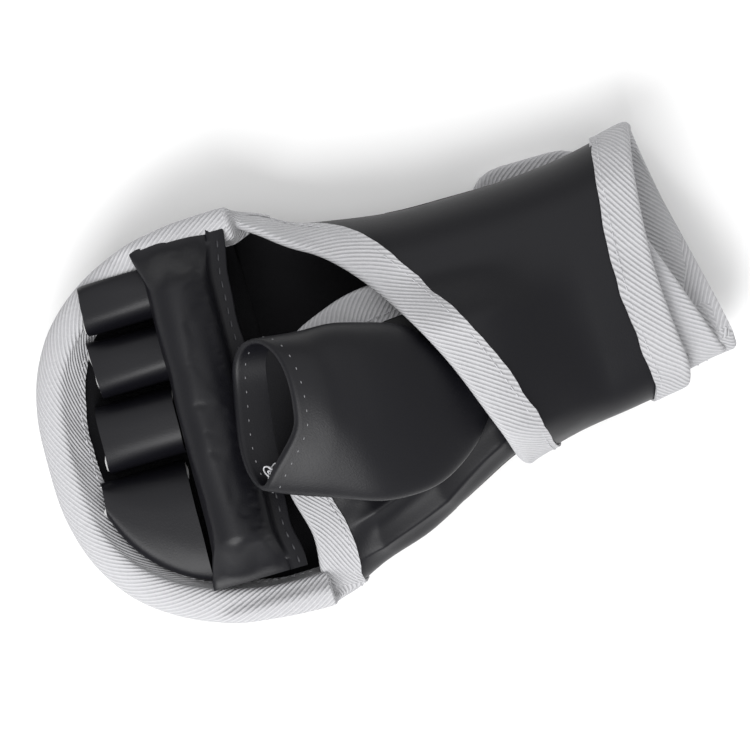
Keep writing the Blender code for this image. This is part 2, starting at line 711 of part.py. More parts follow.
def tip_outline(inset=0.0, start=TIP_START):
    """The tip's free edge in plan, from the hinge along the palm-side edge, round the end, and back."""
    a, b = np.array(TIP_HINGE[0], float), np.array(TIP_HINGE[1], float)
    c, d = np.array(TIP_END[1], float), np.array(TIP_END[0], float)
    along = (b - a) / np.linalg.norm(b - a)
    a, b = a + along * inset, b - along * inset
    c, d = c + np.array([-inset, -inset]), d + np.array([inset, -inset])
    square = np.array([-along[1], along[0]])
    first, last = a + square * start, b + square * start
    radius = max(TIP_CORNER - inset, 3.0)
    points = [first, first + (d - first) * 0.5]
    for corner, before, after in ((d, first, c), (c, d, last)):
        into = (before - corner) / np.linalg.norm(before - corner)
        out = (after - corner) / np.linalg.norm(after - corner)
        for s in np.linspace(0.0, 1.0, 6):
            points.append(corner + radius * ((1 - s) ** 2 * into + s**2 * out))
    points += [last + (c - last) * 0.5, last]
    return np.array(points)


def flat_plate(name, outline, low, high, material, body):
    rings = [np.column_stack([outline, np.full(len(outline), z)]) for z in (low, high)]
    return sweep(name, np.array(rings), material, body)


def build_strap_tip(look, body):
    edge = tip_outline()
    flat_plate("strap_tip_cover", edge, *TIP_COVER, look["leather"], body)
    run = np.gradient(edge, axis=0)
    run /= np.linalg.norm(run, axis=1, keepdims=True)
    inward = np.column_stack([run[:, 1], -run[:, 0]])
    rings = []
    for depth, offset in channel(*TIP_COVER):
        rings.append(np.column_stack([edge + inward * depth, np.full(len(edge), offset)]))
    sweep("strap_tip_binding", np.stack(rings, axis=1), look["tape"], body)
    flat_plate("hook_patch", tip_outline(TAPE_WIDTH + 3.5, 12.0), *HOOK_PATCH, look["hook"], body)


def build():
    clear_scene()
    look = {
        "leather": new_material("black synthetic leather", (0.012, 0.012, 0.015), 0.42),
        "lining": new_material("black lining cloth", (0.010, 0.010, 0.011), 0.85),
        "foam": new_material("foam", (0.10, 0.10, 0.11), 0.9),
        "tape": new_material("white cotton twill", (0.74, 0.74, 0.76), 0.85),
        "loop": new_material("hook and loop, loops", (0.02, 0.02, 0.022), 0.95),
        "hook": new_material("hook and loop, hooks", (0.025, 0.025, 0.028), 0.6),
    }
    back = new_body("hand", ORIGIN)
    build_back(look, back)
    build_heel_flap(look, back)
    build_strap(look, back)
    front = new_body("finger_guard", (0.0, GUARD_CENTRE_Y, FOLD_HEIGHT))
    shell = build_guard_shell(look, front)
    build_loops(ground_finder(shell, front[1]), look, front)
    build_grip_bar(look, front)
    build_thumb(look, new_body("thumb", THUMB_PIVOT))
    hinge = (np.array(TIP_HINGE[0]) + np.array(TIP_HINGE[1])) / 2
    build_strap_tip(look, new_body("strap_tip", (*hinge, HINGE_Z)))


build()
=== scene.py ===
"""The looks of a left-hand open-palm MMA glove round its CAD frame.

Shapes are in millimetres in the design frame, whose zero is the knuckle line; place() turns them into
the row frame's metres. Most driving sizes are the CAD's; the loops, the roll, the guard's rim, the sleeve's
mouth and the strap tip's corners stand a little apart from it, to suit the photo.
"""

import math

import bmesh
import bpy
import numpy as np
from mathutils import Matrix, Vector
from mathutils.bvhtree import BVHTree


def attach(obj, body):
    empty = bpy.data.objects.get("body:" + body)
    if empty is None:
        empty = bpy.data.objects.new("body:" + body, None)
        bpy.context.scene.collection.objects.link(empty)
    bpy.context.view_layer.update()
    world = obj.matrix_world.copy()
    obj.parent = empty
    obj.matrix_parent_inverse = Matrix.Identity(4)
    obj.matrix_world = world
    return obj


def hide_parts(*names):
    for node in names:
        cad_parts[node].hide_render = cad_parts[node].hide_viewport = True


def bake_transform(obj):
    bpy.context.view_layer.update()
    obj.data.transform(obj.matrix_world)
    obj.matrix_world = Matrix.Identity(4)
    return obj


MM = 0.001
ORIGIN = np.array([40.25, 1.5, 0.0])

# Cloth and seams
COVER = 1.4                # synthetic leather
LINING = 1.0
TAPE = 0.9                 # one layer of the cotton twill binding
TAPE_WIDTH = 12.5
GAP = 0.3                  # between neighbouring layers
TAPE_GAP = 0.25            # between the binding and the layers it holds
STITCH_ROW = TAPE_WIDTH - 2.4  # how far in from the folded edge the stitches run
THREAD = 0.24              # radius of the sewing thread
STITCH = 2.1               # length of one stitch
STITCH_PITCH = 3.4

# Finger guard: a bowl in front of the knuckle line, superelliptic in plan
GUARD_LENGTH = 87.1
GUARD_HALF_WIDTH = 75.0
GUARD_CENTRE_Y = 1.5
GUARD_PLAN_POWER = 2.5
GUARD_RIM_SIDE = 37.0      # rim height at the two sides
GUARD_RIM_FRONT = 32.0     # rim height at the finger tips
GUARD_FLAT = 0.40          # share of the radius that lies flat
GUARD_PAD = 14.0           # thickness over the knuckles
GUARD_RIM_PAD = 10.2       # thickness at the rim

# Knuckle line, where the guard folds
FOLD_ROOM = 0.02           # half the gap between the two shells
FOLD_FADE = 24.0           # how far from the line the shells follow it

# Hand shell: sections along X as (x, centre y, half width, bottom z, top z)
HAND_SECTIONS = (
    (-6.0, 1.3, 76.6, 0.0, 44.0),
    (8.0, 1.0, 72.6, 0.8, 44.0),
    (22.0, 0.6, 66.0, 2.0, 44.5),
    (42.0, 1.6, 60.5, 3.4, 45.0),
    (62.0, 5.4, 54.0, 5.4, 45.0),
    (82.0, 10.0, 49.0, 7.4, 44.5),
    (100.0, 12.5, 46.8, 7.8, 43.5),
    (125.0, 15.5, 46.0, 7.8, 42.0),
    (150.0, 20.0, 46.5, 7.8, 40.0),
    (174.0, 23.5, 46.5, 7.8, 38.0),
)
SECTION_POWER = 2.5        # superellipse exponent: 2 is an ellipse, more is squarer
SECTION_STEP = 2.0
SECTION_SAMPLES = 361

# Palm-side edges of the hand, in plan, as (x, y)
FLAP_EDGE = (
    (0, -66), (1, -48), (-3, -30), (-1, -6), (6, 13),
    (18, 25.5), (33, 31.5), (46, 33.5), (75, 33), (110, 32), (143, 31),
)
FLAP_START_X = 2.0         # the heel flap's seam on the thumb side runs between these
FLAP_CUFF_X = 165.0
STRAP_EDGE = ((4, 71), (14, 62), (30, 51), (45, 36.5), (56, 20), (66, 1), (74.5, -21), (80, -35))
STRAP_CUFF = ((151, 66.0), (146.5, 45), (144, 13), (145.5, -11), (147, -23))
STRAP_ROOT_X = (3.0, 151.0)    # the strap's seam on the little-finger side runs between these
STRAP_SIDE_X = (83.5, 146.0)   # where its two edges turn round the thumb side
STRAP_LIFT = 4.2               # how far the strap stands off the heel flap
STRAP_SIDE_LIFT = 2.9          # and off the thumb side
STRAP_RISE = (3.0, 28.0)       # arc length over which it lifts off
THUMB_BULGE = 14.0             # extra lift where the strap crosses the thumb's root
BACK_END = (152.0, 0.18, 67.0) # the back's wrist edge: x at the little-finger side, slope, and that side's y

# Back padding
BACK_FOAM = 7.0
BACK_FOAM_EDGE = 1.4
BACK_FOAM_END = 66.0

# Finger loops as (name, y of the two feet, crown height, x of the two edges); the last lower foot follows
# the tape
LOOPS = (
    ("finger_loop_little", 61.5, 42.8, 43.5, (-60.0, -32.5)),
    ("finger_loop_ring", 40.8, 19.0, 40.0, (-62.0, -34.5)),
    ("finger_loop_middle", 17.2, -8.6, 38.5, (-66.5, -37.5)),
    ("finger_loop_index", -10.6, None, 39.5, (-71.5, -40.0)),
)
LOOP_SHIFT = 2.7           # the loops as shown, against their CAD places
LOOP_TUCK = 13.2           # how far inside the rim the index loop's lower foot lies
LOOP_GROUND = 8.0          # a foot stands on ground at least this high
LOOP_POWER = 0.62          # the arch is squarer than an ellipse

# Grip bar
BAR_SLANT = 0.03
BAR_Z = 44.5
BAR_RADIUS = 12.4
BAR_TAPER = 18.0
BAR_FLANGE = 6.0
BAR_FLANGE_DROP = 3.0      # below the bar's middle
ROLL_X = -24.6
ROLL_Y = (-57.5, 71.2)
ROLL_END = (15.0, 1.7)     # the flattened ends, half width and half height
ROLL_END_Z = 41.6

# Thumb sleeve: stations along X as (x, centre y, half width, centre z, half height)
THUMB_STATIONS = (
    (-2.0, 0.4, 27.0, 69.8, 12.2),
    (14.0, -4.6, 30.2, 67.2, 13.2),
    (30.0, -8.8, 33.0, 63.8, 13.2),
    (44.0, -11.0, 31.8, 59.8, 12.0),
    (57.0, -12.0, 26.5, 55.6, 8.8),
    (67.0, -12.5, 18.5, 52.5, 5.5),
    (74.0, -12.8, 10.0, 50.9, 3.9),
)
THUMB_MOUTH_LEAN = 0.85    # how far the mouth's upper lip stands back, per mm of height
THUMB_LEAN_FADE = 34.0
THUMB_TAPER = 0.34         # the section is fuller at the little-finger side
SLEEVE_WALL = 2.0          # its edge is turned in once
HEM = 9.0
MOUTH_POINT = 9.5          # how far the sleeve's pointed end stands forward

# Strap tip: a flat flap under the wrist, from its hinge line to its free end
TIP_HINGE = ((86.5, -16.5), (146.0, -7.5))
TIP_START = 3.4            # the tip's distance from the hinge line
STRAP_STOP = 1.8           # and the strap's
TIP_END = ((93.0, 64.0), (136.0, 64.0))
TIP_CORNER = 12.0
TIP_COVER = (1.8, 3.1)
HOOK_PATCH = (3.4, 4.3)


def smoothstep(value):
    value = np.clip(value, 0.0, 1.0)
    return value * value * (3.0 - 2.0 * value)


def signed_power(value, power):
    return np.sign(value) * np.abs(value) ** power


def run_along(points):
    """Length along a row of points, up to each one."""
    return np.r_[0.0, np.cumsum(np.linalg.norm(np.diff(points, axis=0), axis=1))]


def hermite(s):
    """Weights of the start, its slope, the end and its slope, at share s of the way."""
    return 2 * s**3 - 3 * s**2 + 1, s**3 - 2 * s**2 + s, 3 * s**2 - 2 * s**3, s**3 - s**2


def between(rows, i, fi, j, fj):
    """The point at shares fi and fj past corner i, j of a grid."""
    near = rows[i, j] * (1 - fj) + rows[i, j + 1] * fj
    far = rows[i + 1, j] * (1 - fj) + rows[i + 1, j + 1] * fj
    return near * (1 - fi) + far * fi


def curve_through(points):
    """A smooth function through (x, y, ...) rows, flat beyond its ends."""
    table = np.array(points, float)
    xs, ys = table[:, 0], table[:, 1:]
    slopes = np.gradient(ys, xs, axis=0)

    def value(x):
        x = np.clip(np.asarray(x, float), xs[0], xs[-1])
        i = np.clip(np.searchsorted(xs, x) - 1, 0, len(xs) - 2)
        width = xs[i + 1] - xs[i]
        s = ((x - xs[i]) / width)[..., None]
        width = width[..., None]
        h = hermite(s)
        return h[0] * ys[i] + h[1] * width * slopes[i] + h[2] * ys[i + 1] + h[3] * width * slopes[i + 1]

    return value


def path_through(points):
    """A smooth curve through plan points, taken along its length: share 0 to 1 gives a point."""
    table = np.array(points, float)
    steps = run_along(table)
    return curve_through(np.column_stack([steps / steps[-1], table]))


def fold_room(points, side):
    """Keeps a shell a hair clear of the knuckle line."""
    fade = 1.0 - smoothstep(np.abs(points[..., 0]) / FOLD_FADE)
    moved = points.copy()
    moved[..., 0] += side * FOLD_ROOM * fade
    return moved


class HandShell:
    """The skin round the hand and wrist: point(arc, x, offset), arc from the little finger over the palm."""

    def __init__(self):
        section = curve_through(HAND_SECTIONS)
        self.xs = np.arange(HAND_SECTIONS[0][0], HAND_SECTIONS[-1][0] + SECTION_STEP, SECTION_STEP)
        angle = np.linspace(0.0, 2 * math.pi, 1441)
        rows, lengths = [], []
        for x in self.xs:
            centre, half, low, high = section(x)
            y = centre + half * signed_power(np.cos(angle), 2 / SECTION_POWER)
            z = (low + high) / 2 + (high - low) / 2 * signed_power(np.sin(angle), 2 / SECTION_POWER)
            run = np.r_[0.0, np.cumsum(np.hypot(np.diff(y), np.diff(z)))]
            even = np.linspace(0.0, run[-1], SECTION_SAMPLES)
            rows.append(np.column_stack([np.interp(even, run, y), np.interp(even, run, z)]))
            lengths.append(run[-1])
        self.rows = np.array(rows)
        self.lengths = np.array(lengths)

    def around(self, x):
        return np.interp(x, self.xs, self.lengths)

    def base(self, arc, x):
        arc, x = np.broadcast_arrays(np.asarray(arc, float), np.asarray(x, float))
        i = np.clip(((x - self.xs[0]) / SECTION_STEP).astype(int), 0, len(self.xs) - 2)
        fx = ((x - self.xs[i]) / SECTION_STEP)[..., None]
        place = (arc / self.around(x) % 1.0) * (SECTION_SAMPLES - 1)
        j = np.clip(place.astype(int), 0, SECTION_SAMPLES - 2)
        fj = (place - j)[..., None]
        return np.concatenate([x[..., None], between(self.rows, i, fx, j, fj)], axis=-1)

    def normal(self, arc, x, reach=2.0):
        along = self.base(arc, x + reach) - self.base(arc, x - reach)
        across = self.base(arc + reach, x) - self.base(arc - reach, x)
        out = np.cross(across, along)
        out[..., 0] *= smoothstep(np.broadcast_to(x, out.shape[:-1]) / FOLD_FADE)
        return out / np.linalg.norm(out, axis=-1, keepdims=True)

    def point(self, arc, x, offset):
        arc, x, offset = np.broadcast_arrays(*(np.asarray(v, float) for v in (arc, x, offset)))
        found = self.base(arc, x) + self.normal(arc, x) * offset[..., None]
        return fold_room(found, 1.0)

    def arc_at(self, x, y, palm=True):
        """Arc length of the palm-side (or back-side) point over plan position (x, y)."""
        found = []
        for px, py in zip(np.atleast_1d(x), np.atleast_1d(y)):
            half = self.around(px) / 2
            arcs = np.linspace(0.0, half, 181) if palm else np.linspace(half, 2 * half - 0.01, 181)
            ys = self.base(arcs, np.full(181, px))[:, 1]
            found.append(np.interp(-py, -ys, arcs) if palm else np.interp(py, ys, arcs))
        return np.array(found)


class GuardShell:
    """The finger guard's bowl: point(turn, depth, offset), depth down from the rim, offset inwards."""

    def __init__(self):
        self.turns = np.linspace(math.pi / 2, 3 * math.pi / 2, 181)
        radius = 1.0 - np.linspace(0.0, 1.0, 400)
        bend = np.clip((radius - GUARD_FLAT) / (1 - GUARD_FLAT), 0, 1)
        boxy = 1.0 - (1.0 - bend**2.4) ** (1 / 1.8)
        open_bowl = bend**2.1
        rows, lengths = [], []
        for turn in self.turns:
            side = abs(math.sin(turn)) ** 2
            power = 2 / GUARD_PLAN_POWER
            x = GUARD_LENGTH * signed_power(math.cos(turn), power) * radius
            y = GUARD_CENTRE_Y + GUARD_HALF_WIDTH * signed_power(math.sin(turn), power) * radius
            rim = GUARD_RIM_FRONT + (GUARD_RIM_SIDE - GUARD_RIM_FRONT) * side
            rise = open_bowl + (boxy - open_bowl) * side**2
            line = np.column_stack([x, y, rim * rise])
            run = run_along(line)
            even = np.linspace(0, run[-1], 241)
            rows.append(np.column_stack([np.interp(even, run, line[:, k]) for k in range(3)]))
            lengths.append(run[-1])
        self.rows = np.array(rows)
        self.lengths = np.array(lengths)

    def deep(self, turn):
        return np.interp(turn, self.turns, self.lengths)

    def base(self, turn, depth):
        turn, depth = np.broadcast_arrays(np.asarray(turn, float), np.asarray(depth, float))
        place = (turn - self.turns[0]) / (self.turns[1] - self.turns[0])
        i = np.clip(place.astype(int), 0, len(self.turns) - 2)
        fi = (place - i)[..., None]
        share = np.clip(depth / self.deep(turn), 0.0, 1.0) * 240
        j = np.clip(share.astype(int), 0, 239)
        fj = (share - j)[..., None]
        found = between(self.rows, i, fi, j, fj)
        above = self.rows[:, 0] - self.rows[:, 4]
        above /= np.linalg.norm(above, axis=1, keepdims=True)
        up = above[i] * (1 - fi) + above[i + 1] * fi
        return found - np.minimum(depth, 0.0)[..., None] * up

    def inward(self, turn, depth, reach=0.03):
        down = self.base(turn, depth + 1.5) - self.base(turn, depth - 1.5)
        along = self.base(turn + reach, depth) - self.base(turn - reach, depth)
        out = np.cross(down, along)
        size = np.linalg.norm(out, axis=-1, keepdims=True)
        flat = np.array([0.0, 0.0, -1.0])
        near_pole = depth > self.deep(turn) * 0.9
        out = np.where((size > 1e-3) & ~np.asarray(near_pole)[..., None], out, flat)
        out[..., 0] *= smoothstep(-self.base(turn, depth)[..., 0] / FOLD_FADE)
        return -out / np.linalg.norm(out, axis=-1, keepdims=True)

    def point(self, turn, depth, offset):
        turn, depth, offset = np.broadcast_arrays(*(np.asarray(v, float) for v in (turn, depth, offset)))
        found = self.base(turn, depth) + self.inward(turn, depth) * offset[..., None]
        return fold_room(found, -1.0)


def pad_thickness(share):
    """Guard thickness from the rim (share 0) to the middle (share 1)."""
    return GUARD_RIM_PAD + (GUARD_PAD - GUARD_RIM_PAD) * smoothstep((share - 0.16) / 0.45)


hand = HandShell()
guard = GuardShell()


# Edges of the hand's panels, laid out flat as (arc, x)


def flap_edge(u):
    """The heel flap's free edge, up the thumb side, across the palm and back to the wrist."""
    plan = np.array(FLAP_EDGE, float)
    arcs = hand.arc_at(plan[:, 0], plan[:, 1])
    side = hand.around(FLAP_START_X) / 2 - GAP
    table = [(side, FLAP_START_X), ((side + arcs[0]) / 2, 0.8)]
    return path_through(table + list(zip(arcs, plan[:, 0])))(u)


def flap_seam(u):
    x = FLAP_START_X + 2.0 + (FLAP_CUFF_X - FLAP_START_X - 2.0) * u
    return np.stack([hand.around(x) / 2 - GAP, x], axis=-1)


def flap_cuff(u):
    start, end = flap_edge(np.array(1.0)), flap_seam(np.array(1.0))
    return start + (end - start) * np.asarray(u)[..., None]


def strap_side(edge, side_x, root_x, end):
    """One long edge of the strap: little-finger seam, palm, thumb side, and back under to the tip's hinge."""
    plan = np.array(edge, float)
    arcs = hand.arc_at(plan[:, 0], plan[:, 1])
    side = hand.around(side_x) / 2
    stop = hand.arc_at(end[0], end[1] - STRAP_STOP, palm=False)[0]
    table = [(GAP, root_x)] + list(zip(arcs, plan[:, 0]))
    table += [(side, side_x), (stop, end[0])]
    return path_through(table)


strap_distal = strap_side(STRAP_EDGE, STRAP_SIDE_X[0], STRAP_ROOT_X[0], TIP_HINGE[0])
strap_proximal = strap_side(STRAP_CUFF, STRAP_SIDE_X[1], STRAP_ROOT_X[1], TIP_HINGE[1])


def strap_lift(arc, x):
    """Offset of the strap's inner face from the hand shell."""
    thickness = LINING + GAP + COVER
    lift = (STRAP_LIFT + thickness) * smoothstep((arc - STRAP_RISE[0]) / (STRAP_RISE[1] - STRAP_RISE[0]))
    lift -= thickness
    around = hand.around(x)
    lift -= (STRAP_LIFT - STRAP_SIDE_LIFT) * smoothstep((arc / around - 0.43) / 0.07)
    y = hand.base(arc, x)[..., 1]
    over_thumb = smoothstep((x - 30) / 30) * (1 - smoothstep((x - 74) / 46))
    beside = smoothstep((34 - y) / 24) * smoothstep((y + 38) / 14)
    palm_side = smoothstep((around * 0.5 - arc) / 12)
    return lift + THUMB_BULGE * over_thumb * beside * palm_side


def back_end_x(share):
    """The back's wrist edge: share 0 at the thumb side, 1 at the little-finger side, round the bottom."""
    share = np.asarray(share, float)
    x = np.full_like(share, 158.0)
    for _ in range(4):
        y = hand.base(hand.around(x) * np.minimum(0.5 + 0.5 * share, 0.9999), x)[..., 1]
        x = BACK_END[0] + (BACK_END[2] - y) * BACK_END[1]
    return x


def back_cuff(u):
    x = back_end_x(u)
    edge = hand.around(x) * 0.5
    return np.stack([edge + GAP + (edge - 2 * GAP) * np.asarray(u), x], axis=-1)


def back_foam_depth(arc, x):
    """Thickness of the padding on the back: full in the middle, thin at the sides and none at the wrist."""
    share = arc / hand.around(x)
    across = smoothstep((np.minimum(share - 0.5, 1.0 - share) - 0.02) / 0.10)
    along = 1.0 - smoothstep((x - BACK_FOAM_END + 26) / 24)
    depth = BACK_FOAM_EDGE + (BACK_FOAM - BACK_FOAM_EDGE) * across * along
    return depth * (1.0 - smoothstep((x - BACK_FOAM_END - 1) / 14))


def flat_inward(edge, u, toward):
    """Unit direction in the flat (arc, x) layout, square to an edge curve and towards a given point."""
    step = 0.004
    run = edge(np.clip(u + step, 0, 1)) - edge(np.clip(u - step, 0, 1))
    run /= np.linalg.norm(run, axis=-1, keepdims=True)
    inward = np.stack([-run[..., 1], run[..., 0]], axis=-1)
    facing = np.sum(inward * (np.array(toward) - edge(u)), axis=-1, keepdims=True)
    return inward * np.sign(np.median(facing))


def hand_patch(near, far, u, columns):
    """Grid of (arc, x) between two edge curves."""
    v = np.linspace(0.0, 1.0, columns)[None, :, None]
    grid = near(u)[:, None, :] * (1 - v) + far(u)[:, None, :] * v
    return grid[..., 0], grid[..., 1]


def tip_outline(inset=0.0, start=TIP_START):
    """The tip's free edge in plan, from the hinge along the palm-side edge, round the end, and back."""
    a, b = np.array(TIP_HINGE[0], float), np.array(TIP_HINGE[1], float)
    c, d = np.array(TIP_END[1], float), np.array(TIP_END[0], float)
    along = (b - a) / np.linalg.norm(b - a)
    a, b = a + along * inset, b - along * inset
    c, d = c + np.array([-inset, -inset]), d + np.array([inset, -inset])
    square = np.array([-along[1], along[0]])
    first, last = a + square * start, b + square * start
    radius = max(TIP_CORNER - inset, 3.0)
    points = [first, first + (d - first) * 0.5]
    for corner, before, after in ((d, first, c), (c, d, last)):
        into = (before - corner) / np.linalg.norm(before - corner)
        out = (after - corner) / np.linalg.norm(after - corner)
        for s in np.linspace(0.0, 1.0, 6):
            points.append(corner + radius * ((1 - s) ** 2 * into + s**2 * out))
    points += [last + (c - last) * 0.5, last]
    return np.array(points)


def thumb_ring(x, inset=0.0):
    """Section of the thumb sleeve: pointed at the thumb side, where its seam runs; the mouth leans back."""
    centre_y, half_y, centre_z, half_z = curve_through(THUMB_STATIONS)(np.array(x))
    angle = np.linspace(0.0, 2 * math.pi, 26, endpoint=False)
    y = centre_y + (half_y - inset) * np.cos(angle)
    rise = (half_z * (1 + THUMB_TAPER * np.cos(angle)) - inset) * np.sin(angle)
    lean = THUMB_MOUTH_LEAN * (1.0 - smoothstep((x - THUMB_STATIONS[0][0]) / THUMB_LEAN_FADE))
    return np.column_stack([x + lean * rise, y, centre_z + rise])


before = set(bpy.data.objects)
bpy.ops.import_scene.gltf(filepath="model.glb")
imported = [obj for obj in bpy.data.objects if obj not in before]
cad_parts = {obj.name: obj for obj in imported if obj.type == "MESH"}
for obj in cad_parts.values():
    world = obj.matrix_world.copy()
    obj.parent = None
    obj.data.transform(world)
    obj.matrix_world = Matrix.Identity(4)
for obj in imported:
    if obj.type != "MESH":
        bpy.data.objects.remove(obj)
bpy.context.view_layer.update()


# Materials


def node(tree, kind, **inputs):
    made = tree.nodes.new(kind)
    for name, value in inputs.items():
        made.inputs[name.replace("_", " ")].default_value = value
    return made


def material(name, colour, roughness, build=None, specular=0.5):
    made = bpy.data.materials.new(name)
    made.use_nodes = True
    shader = made.node_tree.nodes["Principled BSDF"]
    shader.inputs["Base Color"].default_value = (*colour, 1.0)
    shader.inputs["Roughness"].default_value = roughness
    shader.inputs["Specular IOR Level"].default_value = specular
    if build:
        build(made.node_tree, shader)
    return made


def grain(scale, strength, distance, spread=0.0):
    """A fine noise bump; spread also varies the roughness over larger patches."""

    def build(tree, shader):
        where = node(tree, "ShaderNodeTexCoord")
        noise = node(tree, "ShaderNodeTexNoise", Scale=scale, Detail=4.0, Roughness=0.6)
        bump = node(tree, "ShaderNodeBump", Strength=strength, Distance=distance)
        tree.links.new(where.outputs["Object"], noise.inputs["Vector"])
        tree.links.new(noise.outputs["Fac"], bump.inputs["Height"])
        tree.links.new(bump.outputs["Normal"], shader.inputs["Normal"])
        if spread:
            broad = node(tree, "ShaderNodeTexNoise", Scale=60.0, Detail=3.0)
            ramp = node(tree, "ShaderNodeMapRange")
            base = shader.inputs["Roughness"].default_value
            ramp.inputs["To Min"].default_value = base - spread
            ramp.inputs["To Max"].default_value = base + spread
            tree.links.new(where.outputs["Object"], broad.inputs["Vector"])
            tree.links.new(broad.outputs["Fac"], ramp.inputs["Value"])
            tree.links.new(ramp.outputs["Result"], shader.inputs["Roughness"])

    return build


def math_node(tree, operation, factor=None):
    made = node(tree, "ShaderNodeMath")
    made.operation = operation
    if factor is not None:
        made.inputs[1].default_value = factor
    return made


def twill(pitch, groove_shade, light):
    """Diagonal ribs along a tape, from its own (length, width) coordinates in metres. The colour follows the
    rib height: the dark tone in the grooves is painted shade, and the fine noise adds random tone.
    """

    def build(tree, shader):
        uv = node(tree, "ShaderNodeUVMap")
        uv.uv_map = "cloth"
        split = node(tree, "ShaderNodeSeparateXYZ")
        total = math_node(tree, "MULTIPLY_ADD", 0.72)
        turns = math_node(tree, "MULTIPLY", 2 * math.pi / pitch)
        wave = math_node(tree, "SINE")
        where = node(tree, "ShaderNodeTexCoord")
        noise = node(tree, "ShaderNodeTexNoise", Scale=900.0, Detail=3.0)
        broad = node(tree, "ShaderNodeTexNoise", Scale=45.0, Detail=2.0)
        height = math_node(tree, "MULTIPLY_ADD", 1.5)
        ramp = node(tree, "ShaderNodeMapRange")
        ramp.inputs["From Min"].default_value = -1.0
        ramp.inputs["From Max"].default_value = 1.9
        # Mix of the tape's own tone and its painted shade, by rib height: darker in the grooves between the
        # ribs
        shade = node(tree, "ShaderNodeMix")
        shade.data_type = "RGBA"
        shade.inputs["A"].default_value = (*groove_shade, 1.0)
        shade.inputs["B"].default_value = (*light, 1.0)
        bump = node(tree, "ShaderNodeBump", Strength=0.55, Distance=0.0004)
        link = tree.links.new
        link(uv.outputs["UV"], split.inputs["Vector"])
        link(split.outputs["X"], total.inputs[0])
        link(split.outputs["Y"], total.inputs[2])
        link(total.outputs[0], turns.inputs[0])
        link(turns.outputs[0], wave.inputs[0])
        link(where.outputs["Object"], noise.inputs["Vector"])
        link(where.outputs["Object"], broad.inputs["Vector"])
        link(noise.outputs["Fac"], height.inputs[0])
        link(wave.outputs[0], height.inputs[2])
        link(height.outputs[0], bump.inputs["Height"])
        link(bump.outputs["Normal"], shader.inputs["Normal"])
        link(height.outputs[0], ramp.inputs["Value"])
        link(ramp.outputs["Result"], shade.inputs["Factor"])
        link(shade.outputs["Result"], shader.inputs["Base Color"])

    return build


LEATHER = material(
    "black synthetic leather", (0.0042, 0.0042, 0.0062), 0.42, grain(1500.0, 0.3, 0.0002, 0.06), 0.27
)
LINING_CLOTH = material(
    "black lining cloth", (0.0045, 0.0045, 0.0058), 0.85, grain(2600.0, 0.5, 0.0003), 0.25
)
# White cotton twill: its dark tone (0.37, 0.37, 0.385) is painted shade in the rib grooves
TWILL = material(
    "white cotton twill", (0.8, 0.8, 0.82), 0.88, twill(0.0018, (0.37, 0.37, 0.385), (0.525, 0.525, 0.54))
)
BACKING = material("white backing cloth", (0.5, 0.5, 0.5), 0.9)
THREAD_WHITE = material("white thread", (0.52, 0.52, 0.54), 0.8)
THREAD_GREY = material("grey thread", (0.2, 0.2, 0.21), 0.7)
THREAD_BLACK = material("black thread", (0.02, 0.02, 0.024), 0.5)
LOOPS_CLOTH = material("fastener loops", (0.012, 0.012, 0.014), 0.95, grain(1800.0, 1.0, 0.0008))
HOOKS_CLOTH = material("fastener hooks", (0.016, 0.016, 0.018), 0.7, grain(1500.0, 1.0, 0.0006))


# Meshes


def place(points):
    return (np.asarray(points, float) - ORIGIN) * MM


def new_mesh(name, points, faces, look, uv=None, sharp=60):
    mesh = bpy.data.meshes.new(name)
    mesh.from_pydata([tuple(p) for p in place(points).reshape(-1, 3)], [], faces)
    mesh.materials.append(look)
    if uv is not None:
        layer = mesh.uv_layers.new(name="cloth")
        index = np.empty(len(mesh.loops), np.int32)
        mesh.loops.foreach_get("vertex_index", index)
        layer.data.foreach_set("uv", (np.asarray(uv).reshape(-1, 2)[index] * MM).ravel().astype(np.float32))
    mesh.shade_smooth()
    mesh.set_sharp_from_angle(angle=math.radians(sharp))
    made = bpy.data.objects.new(name, mesh)
    bpy.context.scene.collection.objects.link(made)
    return made


def outward(obj):
    """Turns a closed mesh's faces outwards."""
    work = bmesh.new()
    work.from_mesh(obj.data)
    bmesh.ops.remove_doubles(work, verts=work.verts, dist=0.00001)
    bmesh.ops.recalc_face_normals(work, faces=work.faces)
    if work.calc_volume(signed=True) < 0:
        bmesh.ops.reverse_faces(work, faces=work.faces)
    work.to_mesh(obj.data)
    work.free()
    return obj


def ring_faces(a, b, size):
    """Faces between the rings of points that start at a and at b."""
    j = np.arange(size)
    k = (j + 1) % size
    return np.column_stack([a + j, a + k, b + k, b + j]).tolist()


def sheet_mesh(name, lower, upper, look):
    """A closed sheet between two grids of points."""
    rows, columns = lower.shape[:2]
    top = rows * columns
    a = (np.arange(rows - 1)[:, None] * columns + np.arange(columns - 1)[None, :]).ravel()
    faces = np.column_stack([a, a + 1, a + columns + 1, a + columns]).tolist()
    faces += (top + np.column_stack([a, a + columns, a + columns + 1, a + 1])).tolist()
    rim = list(range(columns)) + [i * columns + columns - 1 for i in range(1, rows)]
    rim += [(rows - 1) * columns + j for j in range(columns - 2, -1, -1)]
    rim += [i * columns for i in range(rows - 2, 0, -1)]
    faces += [(p, top + p, top + q, q) for p, q in zip(rim, rim[1:] + rim[:1])]
    points = np.concatenate([lower.reshape(-1, 3), upper.reshape(-1, 3)])
    return outward(new_mesh(name, points, faces, look))


def ring_mesh(name, rings, look, uv=None):
    """A closed skin through rings of points."""
    count, size = rings.shape[:2]
    faces = []
    for i in range(count - 1):
        faces += ring_faces(i * size, (i + 1) * size, size)
    faces.append(tuple(range(size - 1, -1, -1)))
    faces.append(tuple(range((count - 1) * size, count * size)))
    return outward(new_mesh(name, rings.reshape(-1, 3), faces, look, uv))


